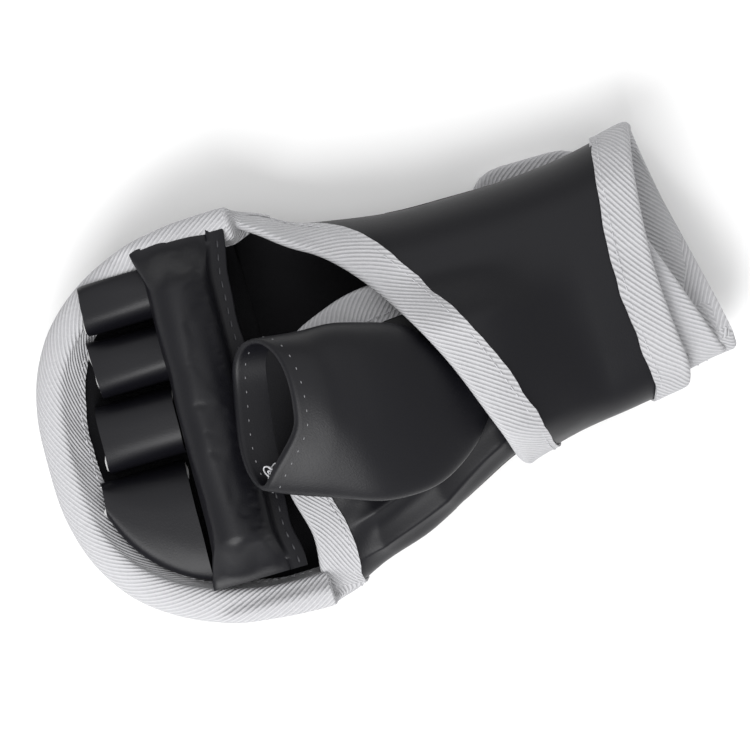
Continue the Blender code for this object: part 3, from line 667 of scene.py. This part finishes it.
def hose_mesh(name, outer, inner, look, lip=0.0):
    """A tube with a wall, open at both ends; lip rounds its first end."""
    size = outer.shape[1]
    middle = (outer[0] + inner[0]) / 2
    back = (outer[0] - outer[1]) / np.linalg.norm(outer[0] - outer[1], axis=1, keepdims=True)
    rings = np.concatenate([outer, inner[::-1], *([] if not lip else [
        (middle + 0.8 * (inner[0] - middle) + 0.7 * lip * back)[None], (middle + lip * back)[None],
        (middle + 0.8 * (outer[0] - middle) + 0.7 * lip * back)[None],
    ])])
    faces = []
    for i in range(len(rings)):
        faces += ring_faces(i * size, (i + 1) % len(rings) * size, size)
    return outward(new_mesh(name, rings.reshape(-1, 3), faces, look))


def waves(along, across, seed, scale=9.0):
    """Smooth unevenness of sewn cloth, about -1 to 1, from lengths in millimetres."""
    mix = np.random.default_rng(seed)
    total = 0.0
    for size in (1.0, 0.55, 0.3):
        a, b, phase = mix.uniform(0.7, 1.3), mix.uniform(-0.8, 0.8), mix.uniform(0, 6.28)
        slow = np.sin(along / (2.7 * scale))
        total = total + size * np.sin((a * along + b * across) / (scale * size) + phase + slow)
    return total / 1.5


TAPE_ROWS, TAPE_BEND = 8, 13   # points across each outer face of a tape, and round its fold
OUTER_POINTS = TAPE_ROWS + TAPE_BEND + TAPE_ROWS
RIDGE = OUTER_POINTS // 2      # the point on the fold
TAPE_ROUND = 2.6               # the fold is no deeper than this


def fold_section(low, high):
    """Rounded section of a tape folded over an edge: rows of (depth, offset, side)."""
    low, high = low - TAPE_GAP, high + TAPE_GAP
    run = np.linspace(TAPE_WIDTH, 0.0, TAPE_ROWS + 1)
    centre, half = (low + high) / 2, (high - low) / 2
    deep = min(half, TAPE_ROUND)
    rows = [(d, low - TAPE, -1.0) for d in run[:-1]]
    for a in np.radians(np.linspace(-90, 90, TAPE_BEND)):
        rows.append((-(deep + TAPE) * math.cos(a), centre + (half + TAPE) * math.sin(a), math.sin(a)))
    rows += [(d, high + TAPE, 1.0) for d in run[::-1][1:]]
    rows += [(d, high, 1.0) for d in (TAPE_WIDTH, TAPE_WIDTH / 2)]
    for a in np.radians(np.linspace(90, -90, 5)):
        rows.append((-deep * math.cos(a), centre + half * math.sin(a), 0.0))
    rows += [(d, low, -1.0) for d in (TAPE_WIDTH / 2, TAPE_WIDTH)]
    return np.array(rows)


def hand_of(rings):
    """Twill has one hand: -1 or 1 as the section runs right or left of the tape's length, from outside."""
    i, k = len(rings) // 2, OUTER_POINTS - 1
    along, across = rings[i + 1, k] - rings[i - 1, k], rings[i, k] - rings[i, k - 2]
    return -np.sign(np.cross(along, across) @ (rings[i, k] - rings[i, k + 1]))


def tape_uv(rings, run, across):
    return np.stack(np.broadcast_arrays(run[:, None], hand_of(rings) * across[None, :]), axis=-1)


def tape_mesh(name, place_row, low, high, seed, adjust=None):
    """A binding tape and its rings: place_row(depth, offset) gives a row of points along the edge. Edges and
    faces wander a little, as on a sewn tape."""
    section = fold_section(low, high)
    run = run_along(place_row(0.0, high))
    rings = []
    for i, (depth, offset, side) in enumerate(section):
        swell = 0.42 * waves(run, depth, seed, 6.5) * (0.4 + 0.6 * (depth > 1))
        edge = 0.0
        if depth > TAPE_WIDTH - 0.1:
            edge = 0.45 * waves(run, 0.0, seed + 1 + int(side > 0), 16.0)
            edge = edge + 0.3 * waves(run, 0.0, seed + 2, 4.5)
        near_thread = abs(depth - STITCH_ROW) < 1.4
        pinch = -0.16 * (0.5 + 0.5 * np.cos(2 * math.pi * run / STITCH_PITCH)) * near_thread
        out = 0.0 if i >= OUTER_POINTS else side * (swell + pinch)
        rings.append(place_row(depth + edge, offset + out))
    rings = np.stack(rings, axis=1)
    if adjust is not None:
        rings = adjust(rings)
    tape = ring_mesh(name, rings, TWILL, tape_uv(rings, run, run_along(section[:, :2])))
    return tape, rings


def stitches(name, rows, centre_side, look, length=STITCH, pitch=STITCH_PITCH, radius=THREAD):
    """Short threads along rows of points; centre_side gives the way out of the cloth at each row."""
    ring = np.radians(np.arange(0, 360, 60))
    points, faces = [], []
    for row, out in zip(rows, centre_side):
        run = run_along(row)
        for at in np.arange(pitch * 0.6, run[-1] - pitch * 0.6, pitch):
            halves = (-length / 2, length / 2)
            ends = [np.array([np.interp(at + s, run, row[:, k]) for k in range(3)]) for s in halves]
            way = (ends[1] - ends[0]) / max(np.linalg.norm(ends[1] - ends[0]), 1e-6)
            up = np.array([np.interp(at, run, out[:, k]) for k in range(3)])
            up = up - way * (up @ way)
            up /= max(np.linalg.norm(up), 1e-6)
            side = np.cross(way, up)
            start = len(points)
            for share, size in ((-0.5, 0.35), (-0.28, 0.9), (0.28, 0.9), (0.5, 0.35)):
                middle = (ends[0] + ends[1]) / 2 + way * length * share
                middle = middle + up * radius * (0.25 if abs(share) < 0.4 else -0.5)
                for a in ring:
                    points.append(middle + radius * size * (math.cos(a) * side + math.sin(a) * up))
            for i in range(3):
                faces += ring_faces(start + i * 6, start + (i + 1) * 6, 6)
            faces.append(tuple(start + j for j in range(5, -1, -1)))
            faces.append(tuple(start + 18 + j for j in range(6)))
    return outward(new_mesh(name, np.array(points), faces, look))


def other_side(rings):
    """The same section read from its other side."""
    return np.concatenate([rings[:, :OUTER_POINTS][:, ::-1], rings[:, OUTER_POINTS:][:, ::-1]], axis=1)


def tape_link(name, before, after, count=14):
    """Carries a tape on from one run of rings to the next, leaving and arriving along each."""
    a, b = before[-1], after[0]
    size = np.linalg.norm(b.mean(axis=0) - a.mean(axis=0))
    leave = before[-1].mean(axis=0) - before[-4].mean(axis=0)
    arrive = after[3].mean(axis=0) - after[0].mean(axis=0)
    leave, arrive = (size * way / max(np.linalg.norm(way), 1e-6) for way in (leave, arrive))
    rings = []
    for t in np.linspace(0, 1, count):
        h = hermite(t)
        rings.append(h[0] * a + h[1] * leave + h[2] * b + h[3] * arrive)
    rings = np.array(rings)
    tape = ring_mesh(name, rings, TWILL, tape_uv(rings, run_along(rings[:, RIDGE]), run_along(rings[0])))
    return tape


def knuckle(obj):
    """Bakes a piece's placement into its mesh; used for pieces at the knuckle line, between the finger guard
    and the hand.
    """
    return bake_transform(obj)


def wrist_fold(obj):
    """Bakes a strap piece's placement into its mesh; the strap meets its tip where it turns under the thumb
    side.
    """
    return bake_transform(obj)


# Finger guard


def build_guard():
    turns = np.linspace(math.pi / 2, 3 * math.pi / 2, 181)
    share = np.linspace(0.0, 1.0, 70)[None, :]
    depth = guard.deep(turns)[:, None] * share
    grid = np.broadcast_to(turns[:, None], depth.shape)
    skin = sheet_mesh("guard_skin", guard.point(grid, depth, 0.0), guard.point(grid, depth, COVER), LEATHER)
    knuckle(skin)
    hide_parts("guard_cover", "knuckle_foam")
    pad = pad_thickness(depth / guard.deep(turns)[:, None])
    x = guard.base(grid, depth)[..., 0]
    uneven = 0.5 * waves(x * 1.3, depth, 5, 16.0) * smoothstep((depth - 14) / 12)
    under, over = guard.point(grid, depth, pad - LINING + uneven), guard.point(grid, depth, pad + uneven)
    inside = sheet_mesh("guard_inside", under, over, LINING_CLOTH)
    knuckle(inside)
    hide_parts("guard_lining")
    turns = np.linspace(math.pi / 2, 3 * math.pi / 2, 300)

    def row(depth, offset):
        return guard.point(turns, np.broadcast_to(depth, turns.shape), offset)

    def over_bar(rings):
        """The tape rises over the grip bar's flat ends."""
        x, side = rings[..., 0], np.abs(rings[..., 1] - GUARD_CENTRE_Y)
        there = smoothstep((x + 46) / 10)
        rings[..., 2] += 3.0 * there * smoothstep((side - 66) / 4)
        return rings

    tape, rings = tape_mesh("guard_tape", row, 0.0, GUARD_RIM_PAD, 11, over_bar)
    knuckle(tape)
    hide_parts("guard_binding")
    fine = row(STITCH_ROW, -TAPE_GAP - TAPE), row(STITCH_ROW, GUARD_RIM_PAD + TAPE_GAP + TAPE)
    ways = [line - row(STITCH_ROW, 4.0) for line in fine]
    thread = stitches("guard_tape_stitching", fine, ways, THREAD_WHITE)
    knuckle(thread)
    return inside, tape, rings


def tree_of(*parts):
    trees = []
    for part in parts:
        corners = [Vector(np.array(v.co) / MM + ORIGIN) for v in part.data.vertices]
        trees.append(BVHTree.FromPolygons(corners, [tuple(p.vertices) for p in part.data.polygons]))

    def height(x, y):
        hits = [tree.ray_cast(Vector((x, y, 200.0)), Vector((0, 0, -1)))[0] for tree in trees]
        return max((hit.z for hit in hits if hit), default=0.0)

    return height


def loop_grid(height, span, top, bottom, crown, shrink, widen, seed):
    """One finger loop; the last one's lower foot follows the tape's inner edge."""
    grid = []
    low_x, high_x = span
    angle = np.linspace(0.0, math.pi, 61)
    for x in np.linspace(low_x, high_x, 15):
        foot = bottom
        if bottom is None:
            reach = min(-x / (GUARD_LENGTH - LOOP_TUCK), 0.995)
            foot = GUARD_CENTRE_Y - (GUARD_HALF_WIDTH - LOOP_TUCK) * (1 - reach**GUARD_PLAN_POWER) ** 0.4
        feet = [top, foot]
        for k, step in ((0, -0.5), (1, 0.5)):
            while height(x, feet[k]) < LOOP_GROUND and feet[0] - feet[1] > 8.0:
                feet[k] += step
        ground = [height(x, y) + 0.1 for y in feet]
        centre, half = sum(feet) / 2, (feet[0] - feet[1]) / 2 - shrink
        y = centre + half * signed_power(np.cos(angle), LOOP_POWER)
        base = np.where(np.cos(angle) > 0, ground[0], ground[1])
        place_x = 2 * (x - low_x) / (high_x - low_x) - 1
        sag = 0.8 * place_x**2
        z = base + (crown - shrink + sag - 0.8 - base) * np.abs(np.sin(angle)) ** LOOP_POWER
        x_row = x + 0.6 * waves(angle * 9, 0.0, seed, 9.0)
        if widen and abs(place_x) > 0.99:
            x_row = x_row + place_x * widen * waves(angle * 14, place_x * 9, seed + 3, 6.0)
        z = z + 0.3 * waves(angle * 12, x * 0.6, seed + 1, 7.0)
        grid.append(np.column_stack([x_row, y, z]))
    return np.array(grid)


def build_loops(height):
    for i, (name, top, bottom, crown, span) in enumerate(LOOPS):
        top, bottom = top + LOOP_SHIFT, None if bottom is None else bottom + LOOP_SHIFT
        outer = loop_grid(height, span, top, bottom, crown, 0.0, 0.0, 20 + i)
        under = loop_grid(height, span, top, bottom, crown, 1.0, 0.0, 20 + i)
        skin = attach(sheet_mesh(name + "_skin", outer, under, LEATHER), "finger_guard")
        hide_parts(name)
        outer = loop_grid(height, span, top, bottom, crown, 1.05, 0.7, 20 + i)
        under = loop_grid(height, span, top, bottom, crown, 1.6, 0.7, 20 + i)
        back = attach(sheet_mesh(name + "_backing", outer, under, BACKING), "finger_guard")


def bar_section(y):
    """Round roll with a stitched double edge towards the wrist; the ends are pressed flat."""
    ends = float(1.0 - smoothstep(min(y - ROLL_Y[0], ROLL_Y[1] - y) / BAR_TAPER))
    half_x = BAR_RADIUS + (ROLL_END[0] - BAR_RADIUS) * ends
    half_z = BAR_RADIUS + (ROLL_END[1] - BAR_RADIUS) * ends
    centre_x = ROLL_X + BAR_SLANT * y
    centre_z = BAR_Z + (ROLL_END_Z - BAR_Z) * ends
    angle = np.radians(np.linspace(20, 322, 60))
    x = centre_x + half_x * np.cos(angle)
    z = centre_z + half_z * np.sin(angle)
    pinch = 4.0 * ends * (1.0 - ends)
    window = smoothstep((angle - angle[0]) / 0.5) * smoothstep((angle[-1] - angle) / 0.5)
    creases = 0.5 * pinch * np.cos(7.0 * angle + 0.3)
    ripple = window * (0.2 * waves(np.full(60, y), angle * 11, 41, 11.0) + creases)
    x, z = x + ripple * np.cos(angle), z + ripple * np.sin(angle)
    drop = BAR_FLANGE_DROP * (1.0 - ends)
    reach = centre_x + half_x + BAR_FLANGE + 0.5 * float(waves(np.array(y), 0.0, 43, 10.0))
    half = 1.25
    mid = centre_z - drop
    lip = [
        (centre_x + half_x * 0.90, mid - half * 1.5), (centre_x + half_x + 1.0, mid - half),
        (reach - 0.4, mid - half), (reach, mid - half * 0.7), (reach, mid - 0.18), (reach - 1.6, mid - 0.02),
        (reach, mid + 0.18), (reach, mid + half * 0.7), (reach - 0.4, mid + half),
        (centre_x + half_x + 1.0, mid + half), (centre_x + half_x * 0.97, mid + half * 1.6),
    ]
    lip = np.array(lip)
    ring = np.concatenate([np.column_stack([x, z]), lip])
    return np.column_stack([ring[:, 0], np.full(len(ring), y), ring[:, 1]])


def plump(obj, most):
    """Fills a closed skin by a short cloth simulation; the sewn edge and both ends stay where they are."""
    mesh = obj.data
    start = np.array([v.co for v in mesh.vertices])
    x, y = start[:, 0] / MM + ORIGIN[0], start[:, 1] / MM + ORIGIN[1]
    edge = smoothstep((x - ROLL_X - BAR_SLANT * y - 9.0) / 3.0)
    ends = 1.0 - smoothstep((np.minimum(y - ROLL_Y[0], ROLL_Y[1] - y) - 1.0) / 5.0)
    held = obj.vertex_groups.new(name="held")
    for i, weight in enumerate(np.maximum(edge, ends)):
        held.add([i], float(weight), "REPLACE")
    cloth = obj.modifiers.new("fill", "CLOTH")
    set_up = cloth.settings
    set_up.quality = 6
    set_up.mass = 0.15
    set_up.tension_stiffness = set_up.compression_stiffness = 40.0
    set_up.bending_stiffness = 4.0
    set_up.use_pressure = True
    set_up.uniform_pressure_force = 4.0
    set_up.shrink_min = -0.01
    set_up.vertex_group_mass = "held"
    set_up.effector_weights.gravity = 0.0
    cloth.collision_settings.use_self_collision = False
    scene = bpy.context.scene
    for frame_number in range(1, 21):
        scene.frame_set(frame_number)
    graph = bpy.context.evaluated_depsgraph_get()
    moved = np.array([v.co for v in obj.evaluated_get(graph).to_mesh().vertices]) - start
    obj.evaluated_get(graph).to_mesh_clear()
    obj.modifiers.remove(cloth)
    scene.frame_set(1)
    size = np.linalg.norm(moved, axis=1, keepdims=True)
    moved = np.nan_to_num(moved) * np.minimum(1.0, most / np.maximum(size, 1e-9))
    for vertex, place_at in zip(mesh.vertices, start + moved):
        vertex.co = place_at


def build_bar():
    ys = np.linspace(ROLL_Y[0], ROLL_Y[1], 170)
    rings = np.array([bar_section(y) for y in ys])
    bar = ring_mesh("grip_bar_skin", rings, LEATHER)
    plump(bar, 0.0006)
    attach(bar, "finger_guard")
    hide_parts("grip_bar_cover", "grip_bar_core")
    row = (rings[:, -2] + rings[:, -3]) / 2
    ways = np.broadcast_to(np.array([0.0, 0.0, 1.0]), row.shape)
    thread = stitches("grip_bar_stitching", [row], [ways], THREAD_BLACK, 3.0, 5.0, 0.42)
    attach(thread, "finger_guard")


# Hand

TAPES = {}


def hand_sheet(name, arc, x, low, high, look):
    return sheet_mesh(name, hand.point(arc, x, low), hand.point(arc, x, high), look)


def hand_tape(name, edge, toward, lift, low, high, u, seed):
    start, inward = edge(u), flat_inward(edge, u, toward)

    def row(depth, offset):
        at = start + inward * np.asarray(depth)[..., None]
        raised = lift(at[:, 0], at[:, 1]) if lift else 0.0
        return hand.point(at[:, 0], at[:, 1], raised + offset)

    tape, TAPES[name] = tape_mesh(name, row, low, high, seed)
    sewn = np.full(len(u), STITCH_ROW)
    top = row(sewn, high + TAPE_GAP + TAPE)
    out = top - row(sewn, low)
    return tape, top, out


def crinkle(arc, x):
    """Creases in the leather round the thumb's root, running along the thumb side."""
    y = hand.base(arc, x)[..., 1]
    there = smoothstep((x - 10) / 14) * (1 - smoothstep((x - 80) / 16)) * smoothstep((-14 - y) / 14)
    there = there * smoothstep((hand.around(x) / 2 - arc) / 16)
    along, across = 0.91 * x + 0.41 * y, 0.91 * y - 0.41 * x
    turn = 2 * math.pi * across / 12.5 + 0.9 * np.sin(along / 13.0) + 0.4
    ridge = 1.0 - 2.0 * np.abs(np.sin(turn / 2))
    cross = 1.0 - 2.0 * np.abs(np.sin((along + 0.5 * across) / 9.0 + 0.8 * np.sin(across / 6.0)))
    return there * (1.25 * ridge + 0.45 * cross)


def build_back():
    u = np.linspace(0.0, 1.0, 110)
    share = (0.5 * u + 0.25 * (1.0 - np.cos(math.pi * u)))[:, None]
    x = back_end_x(share) * np.linspace(0.0, 1.0, 90)[None, :]
    edge = hand.around(x) * 0.5
    arc = edge + 0.1 + (edge - 0.2) * share
    puff = 0.35 * waves(arc * 0.7, x, 51, 14.0)
    channel_at = np.abs(((x - 16) % 26) - 13) / 13
    padded = smoothstep((x - 6) / 10) * (1 - smoothstep((x - 74) / 6))
    quilt = -0.9 * (1 - smoothstep(channel_at / 0.16)) * padded
    skin = hand_sheet("back_skin", arc, x, -COVER, puff * smoothstep((x - 4) / 10) + quilt, LEATHER)
    knuckle(skin)
    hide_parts("back_cover", "back_foam")
    low = -COVER - 0.3 - LINING - back_foam_depth(arc, x)
    inside = hand_sheet("back_inside", arc, x, low, low + LINING, LINING_CLOTH)
    knuckle(inside)
    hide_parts("back_lining")
    tape, top, out = hand_tape(
        "cuff_tape", back_cuff, (160.0, 60.0), None, -COVER - 0.4 - LINING, 0.0, np.linspace(0, 1, 200), 61
    )
    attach(tape, "hand")
    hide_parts("cuff_binding")
    u = np.linspace(0.01, 0.99, 160)
    start, inward = back_cuff(u), flat_inward(back_cuff, u, (160.0, 60.0))
    at = start + inward * STITCH_ROW
    low_row = hand.point(at[:, 0], at[:, 1], -COVER - 0.4 - LINING - TAPE_GAP - TAPE)
    thread = stitches("cuff_tape_stitching", [top, low_row], [out, -out[: len(low_row)]], THREAD_WHITE)
    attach(thread, "hand")


def build_flap():
    u = np.linspace(0.0, 1.0, 150)
    arc, x = hand_patch(flap_edge, flap_seam, u, 90)
    bend = crinkle(arc, x)
    skin = hand_sheet("heel_flap_skin", arc, x, -COVER + bend, bend, LEATHER)
    knuckle(skin)
    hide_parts("heel_flap")
    toward = (hand.around(60.0) * 0.4, 60.0)
    tape, top, out = hand_tape(
        "heel_flap_tape", flap_edge, toward, None, -COVER, 0.0, np.linspace(0.005, 0.9, 260), 71
    )
    knuckle(tape)
    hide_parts("heel_flap_binding")
    thread = stitches("heel_flap_tape_stitching", [top], [out], THREAD_WHITE)
    knuckle(thread)
    tape, top, out = hand_tape(
        "heel_flap_cuff_tape", flap_cuff, (100.0, 60.0), None, -COVER, 0.0, np.linspace(0, 0.97, 90), 73
    )
    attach(tape, "hand")
    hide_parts("heel_flap_cuff_binding")
    thread = stitches("heel_flap_cuff_stitching", [top], [out], THREAD_WHITE)
    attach(thread, "hand")


def build_strap():
    u = np.linspace(0.0, 1.0, 190)
    arc, x = hand_patch(strap_distal, strap_proximal, u, 80)
    lift = strap_lift(arc, x)
    lift = lift + 0.5 * waves(x * 0.8, arc * 0.4, 81, 22.0) * smoothstep((arc - 20) / 20)
    lining = hand_sheet("strap_inside", arc, x, lift, lift + LINING, LINING_CLOTH)
    wrist_fold(lining)
    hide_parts("strap_lining")
    top = lift + LINING + 0.1
    skin = hand_sheet("strap_skin", arc, x, top, top + COVER, LEATHER)
    wrist_fold(skin)
    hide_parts("strap_panel")
    high = LINING + 0.1 + COVER
    for name, edge, toward, node_name, seed in (
        ("strap_palm_tape", strap_distal, (90.0, 110.0), "strap_distal_binding", 91),
        ("strap_cuff_tape", strap_proximal, (90.0, 60.0), "strap_cuff_binding", 95),
    ):
        u = np.linspace(0.0, 1.0, 320)
        tape, row, out = hand_tape(name, edge, toward, strap_lift, 0.0, high, u, seed)
        wrist_fold(tape)
        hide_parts(node_name)
        thread = stitches(name + "_stitching", [row], [out], THREAD_WHITE)
        wrist_fold(thread)
    near = hand.arc_at(115.0, TIP_HINGE[1][1] + 6.0, palm=False)[0]
    far = hand.arc_at(115.0, 48.0, palm=False)[0]
    arc, x = np.meshgrid(np.linspace(near, far, 60), np.linspace(97.0, 136.0, 40), indexing="ij")
    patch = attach(hand_sheet("loop_patch_cloth", arc, x, 0.1, 2.6, LOOPS_CLOTH), "hand")
    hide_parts("loop_patch")


def join_tapes(guard_rings):
    """The tapes run on into each other at the knuckle line and at the wrist's two corners."""
    strap, cuff, back = TAPES["strap_palm_tape"], TAPES["strap_cuff_tape"], TAPES["cuff_tape"]
    high = np.flatnonzero(strap[:, RIDGE, 2] > 35.0)[0]
    knuckle(tape_link("strap_to_guard_tape", other_side(guard_rings[:6][::-1]), strap[high : high + 6]))
    flap = TAPES["heel_flap_tape"]
    high = np.flatnonzero(flap[:, RIDGE, 2] > 33.0)[0]
    knuckle(tape_link("guard_to_flap_tape", guard_rings[-6:], other_side(flap[high : high + 6])))
    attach(tape_link("strap_to_back_tape", cuff[:6][::-1], back[:6], 8), "hand")
    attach(tape_link("back_to_flap_tape", back[-6:], TAPES["heel_flap_cuff_tape"][:6], 8), "hand")


# Thumb


def sleeve_ring(x, inset):
    """The CAD sleeve's section, with more points, its mouth drawn forward at the thumb side's pointed end."""
    ring = thumb_ring(x, inset)
    count = len(ring)
    place_at = np.arange(72) * count / 72
    closed = np.concatenate([ring[-2:], ring, ring[:3]])
    fine = []
    for at in place_at:
        i = int(at)
        t = at - i
        a, b, c, d = closed[i + 1 : i + 5]
        square, cube = (2 * a - 5 * b + 4 * c - d) * t**2, (3 * b - a - 3 * c + d) * t**3
        fine.append(0.5 * (2 * b + (c - a) * t + square + cube))
    ring = np.array(fine)
    low, high = THUMB_STATIONS[0][0], THUMB_LEAN_FADE
    fade = 1.0 - smoothstep((x - low) / high)
    angle = 2 * math.pi * place_at / count
    tip_side = -np.cos(angle)
    upper, lower = smoothstep((tip_side - 0.2) / 0.8), smoothstep((tip_side + 0.6) / 1.6)
    forward = np.where(np.sin(angle) > 0, upper, lower)
    ring[:, 0] -= MOUTH_POINT * fade * forward
    ring[:, 2] += 0.35 * waves(angle * 8, x, 131, 7.0)
    return ring


def build_thumb():
    low, high = THUMB_STATIONS[0][0], THUMB_STATIONS[-1][0]

    def skin_rings(inset, start=low, stop=high, count=90):
        rings = []
        for x in np.linspace(start, stop, count):
            ring = sleeve_ring(x, inset)
            angle = np.linspace(0, 2 * math.pi, len(ring), endpoint=False)
            out = 0.45 * waves(np.full(len(ring), x) * 0.8, np.sin(angle) * 20, 101, 12.0)
            out = out * float(smoothstep((x - 6) / 20))
            fat = 1.0 + out / 20.0
            centre = ring.mean(axis=0)
            rings.append(centre + (ring - centre) * np.column_stack([np.ones(len(ring)), fat, fat]))
        return np.array(rings)

    sleeve = hose_mesh("thumb_sleeve_skin", skin_rings(0.0), skin_rings(SLEEVE_WALL), LEATHER, 0.9)
    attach(sleeve, "thumb")
    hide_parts("thumb_sleeve")
    outer, inner = (skin_rings(SLEEVE_WALL + inset, low + HEM, high - 4, 60) for inset in (0.1, 0.7))
    lining = hose_mesh("thumb_sleeve_inside", outer, inner, LINING_CLOTH)
    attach(lining, "thumb")
    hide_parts("thumb_lining")
    row, inner = (sleeve_ring(low + 2.6, inset) for inset in (-0.02, SLEEVE_WALL + 0.02))
    row, inner = (np.concatenate([ring, ring[:1]]) for ring in (row, inner))
    ways = [row - inner, inner - row]
    thread = stitches("thumb_hem_stitching", [row, inner], ways, THREAD_GREY, 1.0, 5.2, 0.2)
    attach(thread, "thumb")
    tip = sleeve_ring(low + 1.5, SLEEVE_WALL + 0.4)
    knot = tip[len(tip) // 2] + np.array([1.5, 3.5, 1.0])
    t = np.linspace(0, 34, 260)
    size = 1.5 + 0.6 * np.sin(t * 0.43)
    curl = size * np.cos(t) + 0.05 * t, 1.7 * size * np.sin(0.77 * t), 0.8 * size * np.sin(1.31 * t + 1)
    path = knot + np.column_stack(curl)
    way = np.gradient(path, axis=0)
    way /= np.linalg.norm(way, axis=1, keepdims=True)
    side = np.cross(way, [0.1, 0.2, 1.0])
    side /= np.linalg.norm(side, axis=1, keepdims=True)
    up = np.cross(side, way)
    a = np.radians(np.arange(0, 360, 60))[None, :, None]
    rings = path[:, None] + 0.27 * (np.cos(a) * side[:, None] + np.sin(a) * up[:, None])
    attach(ring_mesh("thumb_thread_end", rings, THREAD_WHITE), "thumb")


# Strap tip


def build_tip():
    edge = tip_outline(0.0, 0.4)
    dense = []
    for p, q in zip(edge[:-1], edge[1:]):
        steps = max(2, int(np.linalg.norm(q - p) / 2.5))
        dense += [p + (q - p) * s for s in np.linspace(0, 1, steps, endpoint=False)]
    edge = np.array(dense + [edge[-1]])

    def plate(name, outline, low, high, look, slot_name, node_name):
        rings = np.array([np.column_stack([outline, np.full(len(outline), z)]) for z in (low, high)])
        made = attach(ring_mesh(name, rings, look), "strap_tip")
        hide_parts(node_name)

    plate("strap_tip_skin", edge, *TIP_COVER, LEATHER, "leather", "strap_tip_cover")
    hooks = tip_outline(TAPE_WIDTH + 1.5, 12.0)
    low, high = HOOK_PATCH[0] - 0.2, HOOK_PATCH[1] + 0.6
    plate("hook_patch_cloth", hooks, low, high, HOOKS_CLOTH, "fastener", "hook_patch")
    run = np.gradient(edge, axis=0)
    run /= np.linalg.norm(run, axis=1, keepdims=True)
    inward = np.column_stack([run[:, 1], -run[:, 0]])

    def row(depth, offset):
        at = edge + inward * np.broadcast_to(depth, len(edge))[:, None]
        return np.column_stack([at, np.broadcast_to(offset, len(edge))])

    tape, _ = tape_mesh("strap_tip_tape", row, *TIP_COVER, 111)
    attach(tape, "strap_tip")
    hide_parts("strap_tip_binding")
    low_row = row(STITCH_ROW, TIP_COVER[0] - TAPE_GAP - TAPE)
    high_row = row(STITCH_ROW, TIP_COVER[1] + TAPE_GAP + TAPE)
    up = np.broadcast_to(np.array([0.0, 0.0, 1.0]), low_row.shape)
    thread = stitches("strap_tip_stitching", [low_row, high_row], [-up, up], THREAD_WHITE)
    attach(thread, "strap_tip")


# Room, light and camera


def area_light(name, at, aim, size, power):
    data = bpy.data.lights.new(name, "AREA")
    data.energy = power
    data.size = size
    lamp = bpy.data.objects.new(name, data)
    lamp.location = at
    lamp.rotation_mode = "QUATERNION"
    lamp.rotation_quaternion = (Vector(aim) - Vector(at)).to_track_quat("-Z", "Y")
    bpy.context.scene.collection.objects.link(lamp)


def build_room():
    mesh = bpy.data.meshes.new("floor")
    corners = [(-3.0, -3.0, 0), (3.0, -3.0, 0), (3.0, 3.0, 0), (-3.0, 3.0, 0)]
    mesh.from_pydata(corners, [], [(0, 1, 2, 3)])
    mesh.materials.append(material("pale floor", (0.95, 0.95, 0.95), 0.9))
    floor = bpy.data.objects.new("floor", mesh)
    floor.location.z = -0.0004
    bpy.context.scene.collection.objects.link(floor)
    world = bpy.data.worlds.new("studio")
    bpy.context.scene.world = world
    world.use_nodes = True
    world.node_tree.nodes["Background"].inputs["Color"].default_value = (1.0, 1.0, 1.0, 1.0)
    world.node_tree.nodes["Background"].inputs["Strength"].default_value = 0.6
    area_light("key", (-0.40, -0.62, 0.85), (0, 0, 0.03), 0.7, 12.5)
    area_light("top", (0.10, 0.45, 1.1), (0, 0, 0.03), 1.5, 4.5)
    bpy.context.scene.view_settings.view_transform = "Standard"


def build_camera():
    data = bpy.data.cameras.new("camera")
    data.sensor_width = 36.0
    distance = 1.2
    data.lens = 36.0 * distance / 0.2775
    camera = bpy.data.objects.new("camera", data)
    roll = math.radians(-16.0)
    camera.location = (-0.0028, 0.0012, 0.035 + distance)
    camera.rotation_euler = (0.0, 0.0, roll)
    bpy.context.scene.collection.objects.link(camera)
    bpy.context.scene.camera = camera


inside, tape, guard_rings = build_guard()
height = tree_of(inside, tape)
build_loops(height)
build_bar()
build_back()
build_flap()
build_strap()
join_tapes(guard_rings)
build_thumb()
build_tip()
build_room()
build_camera()
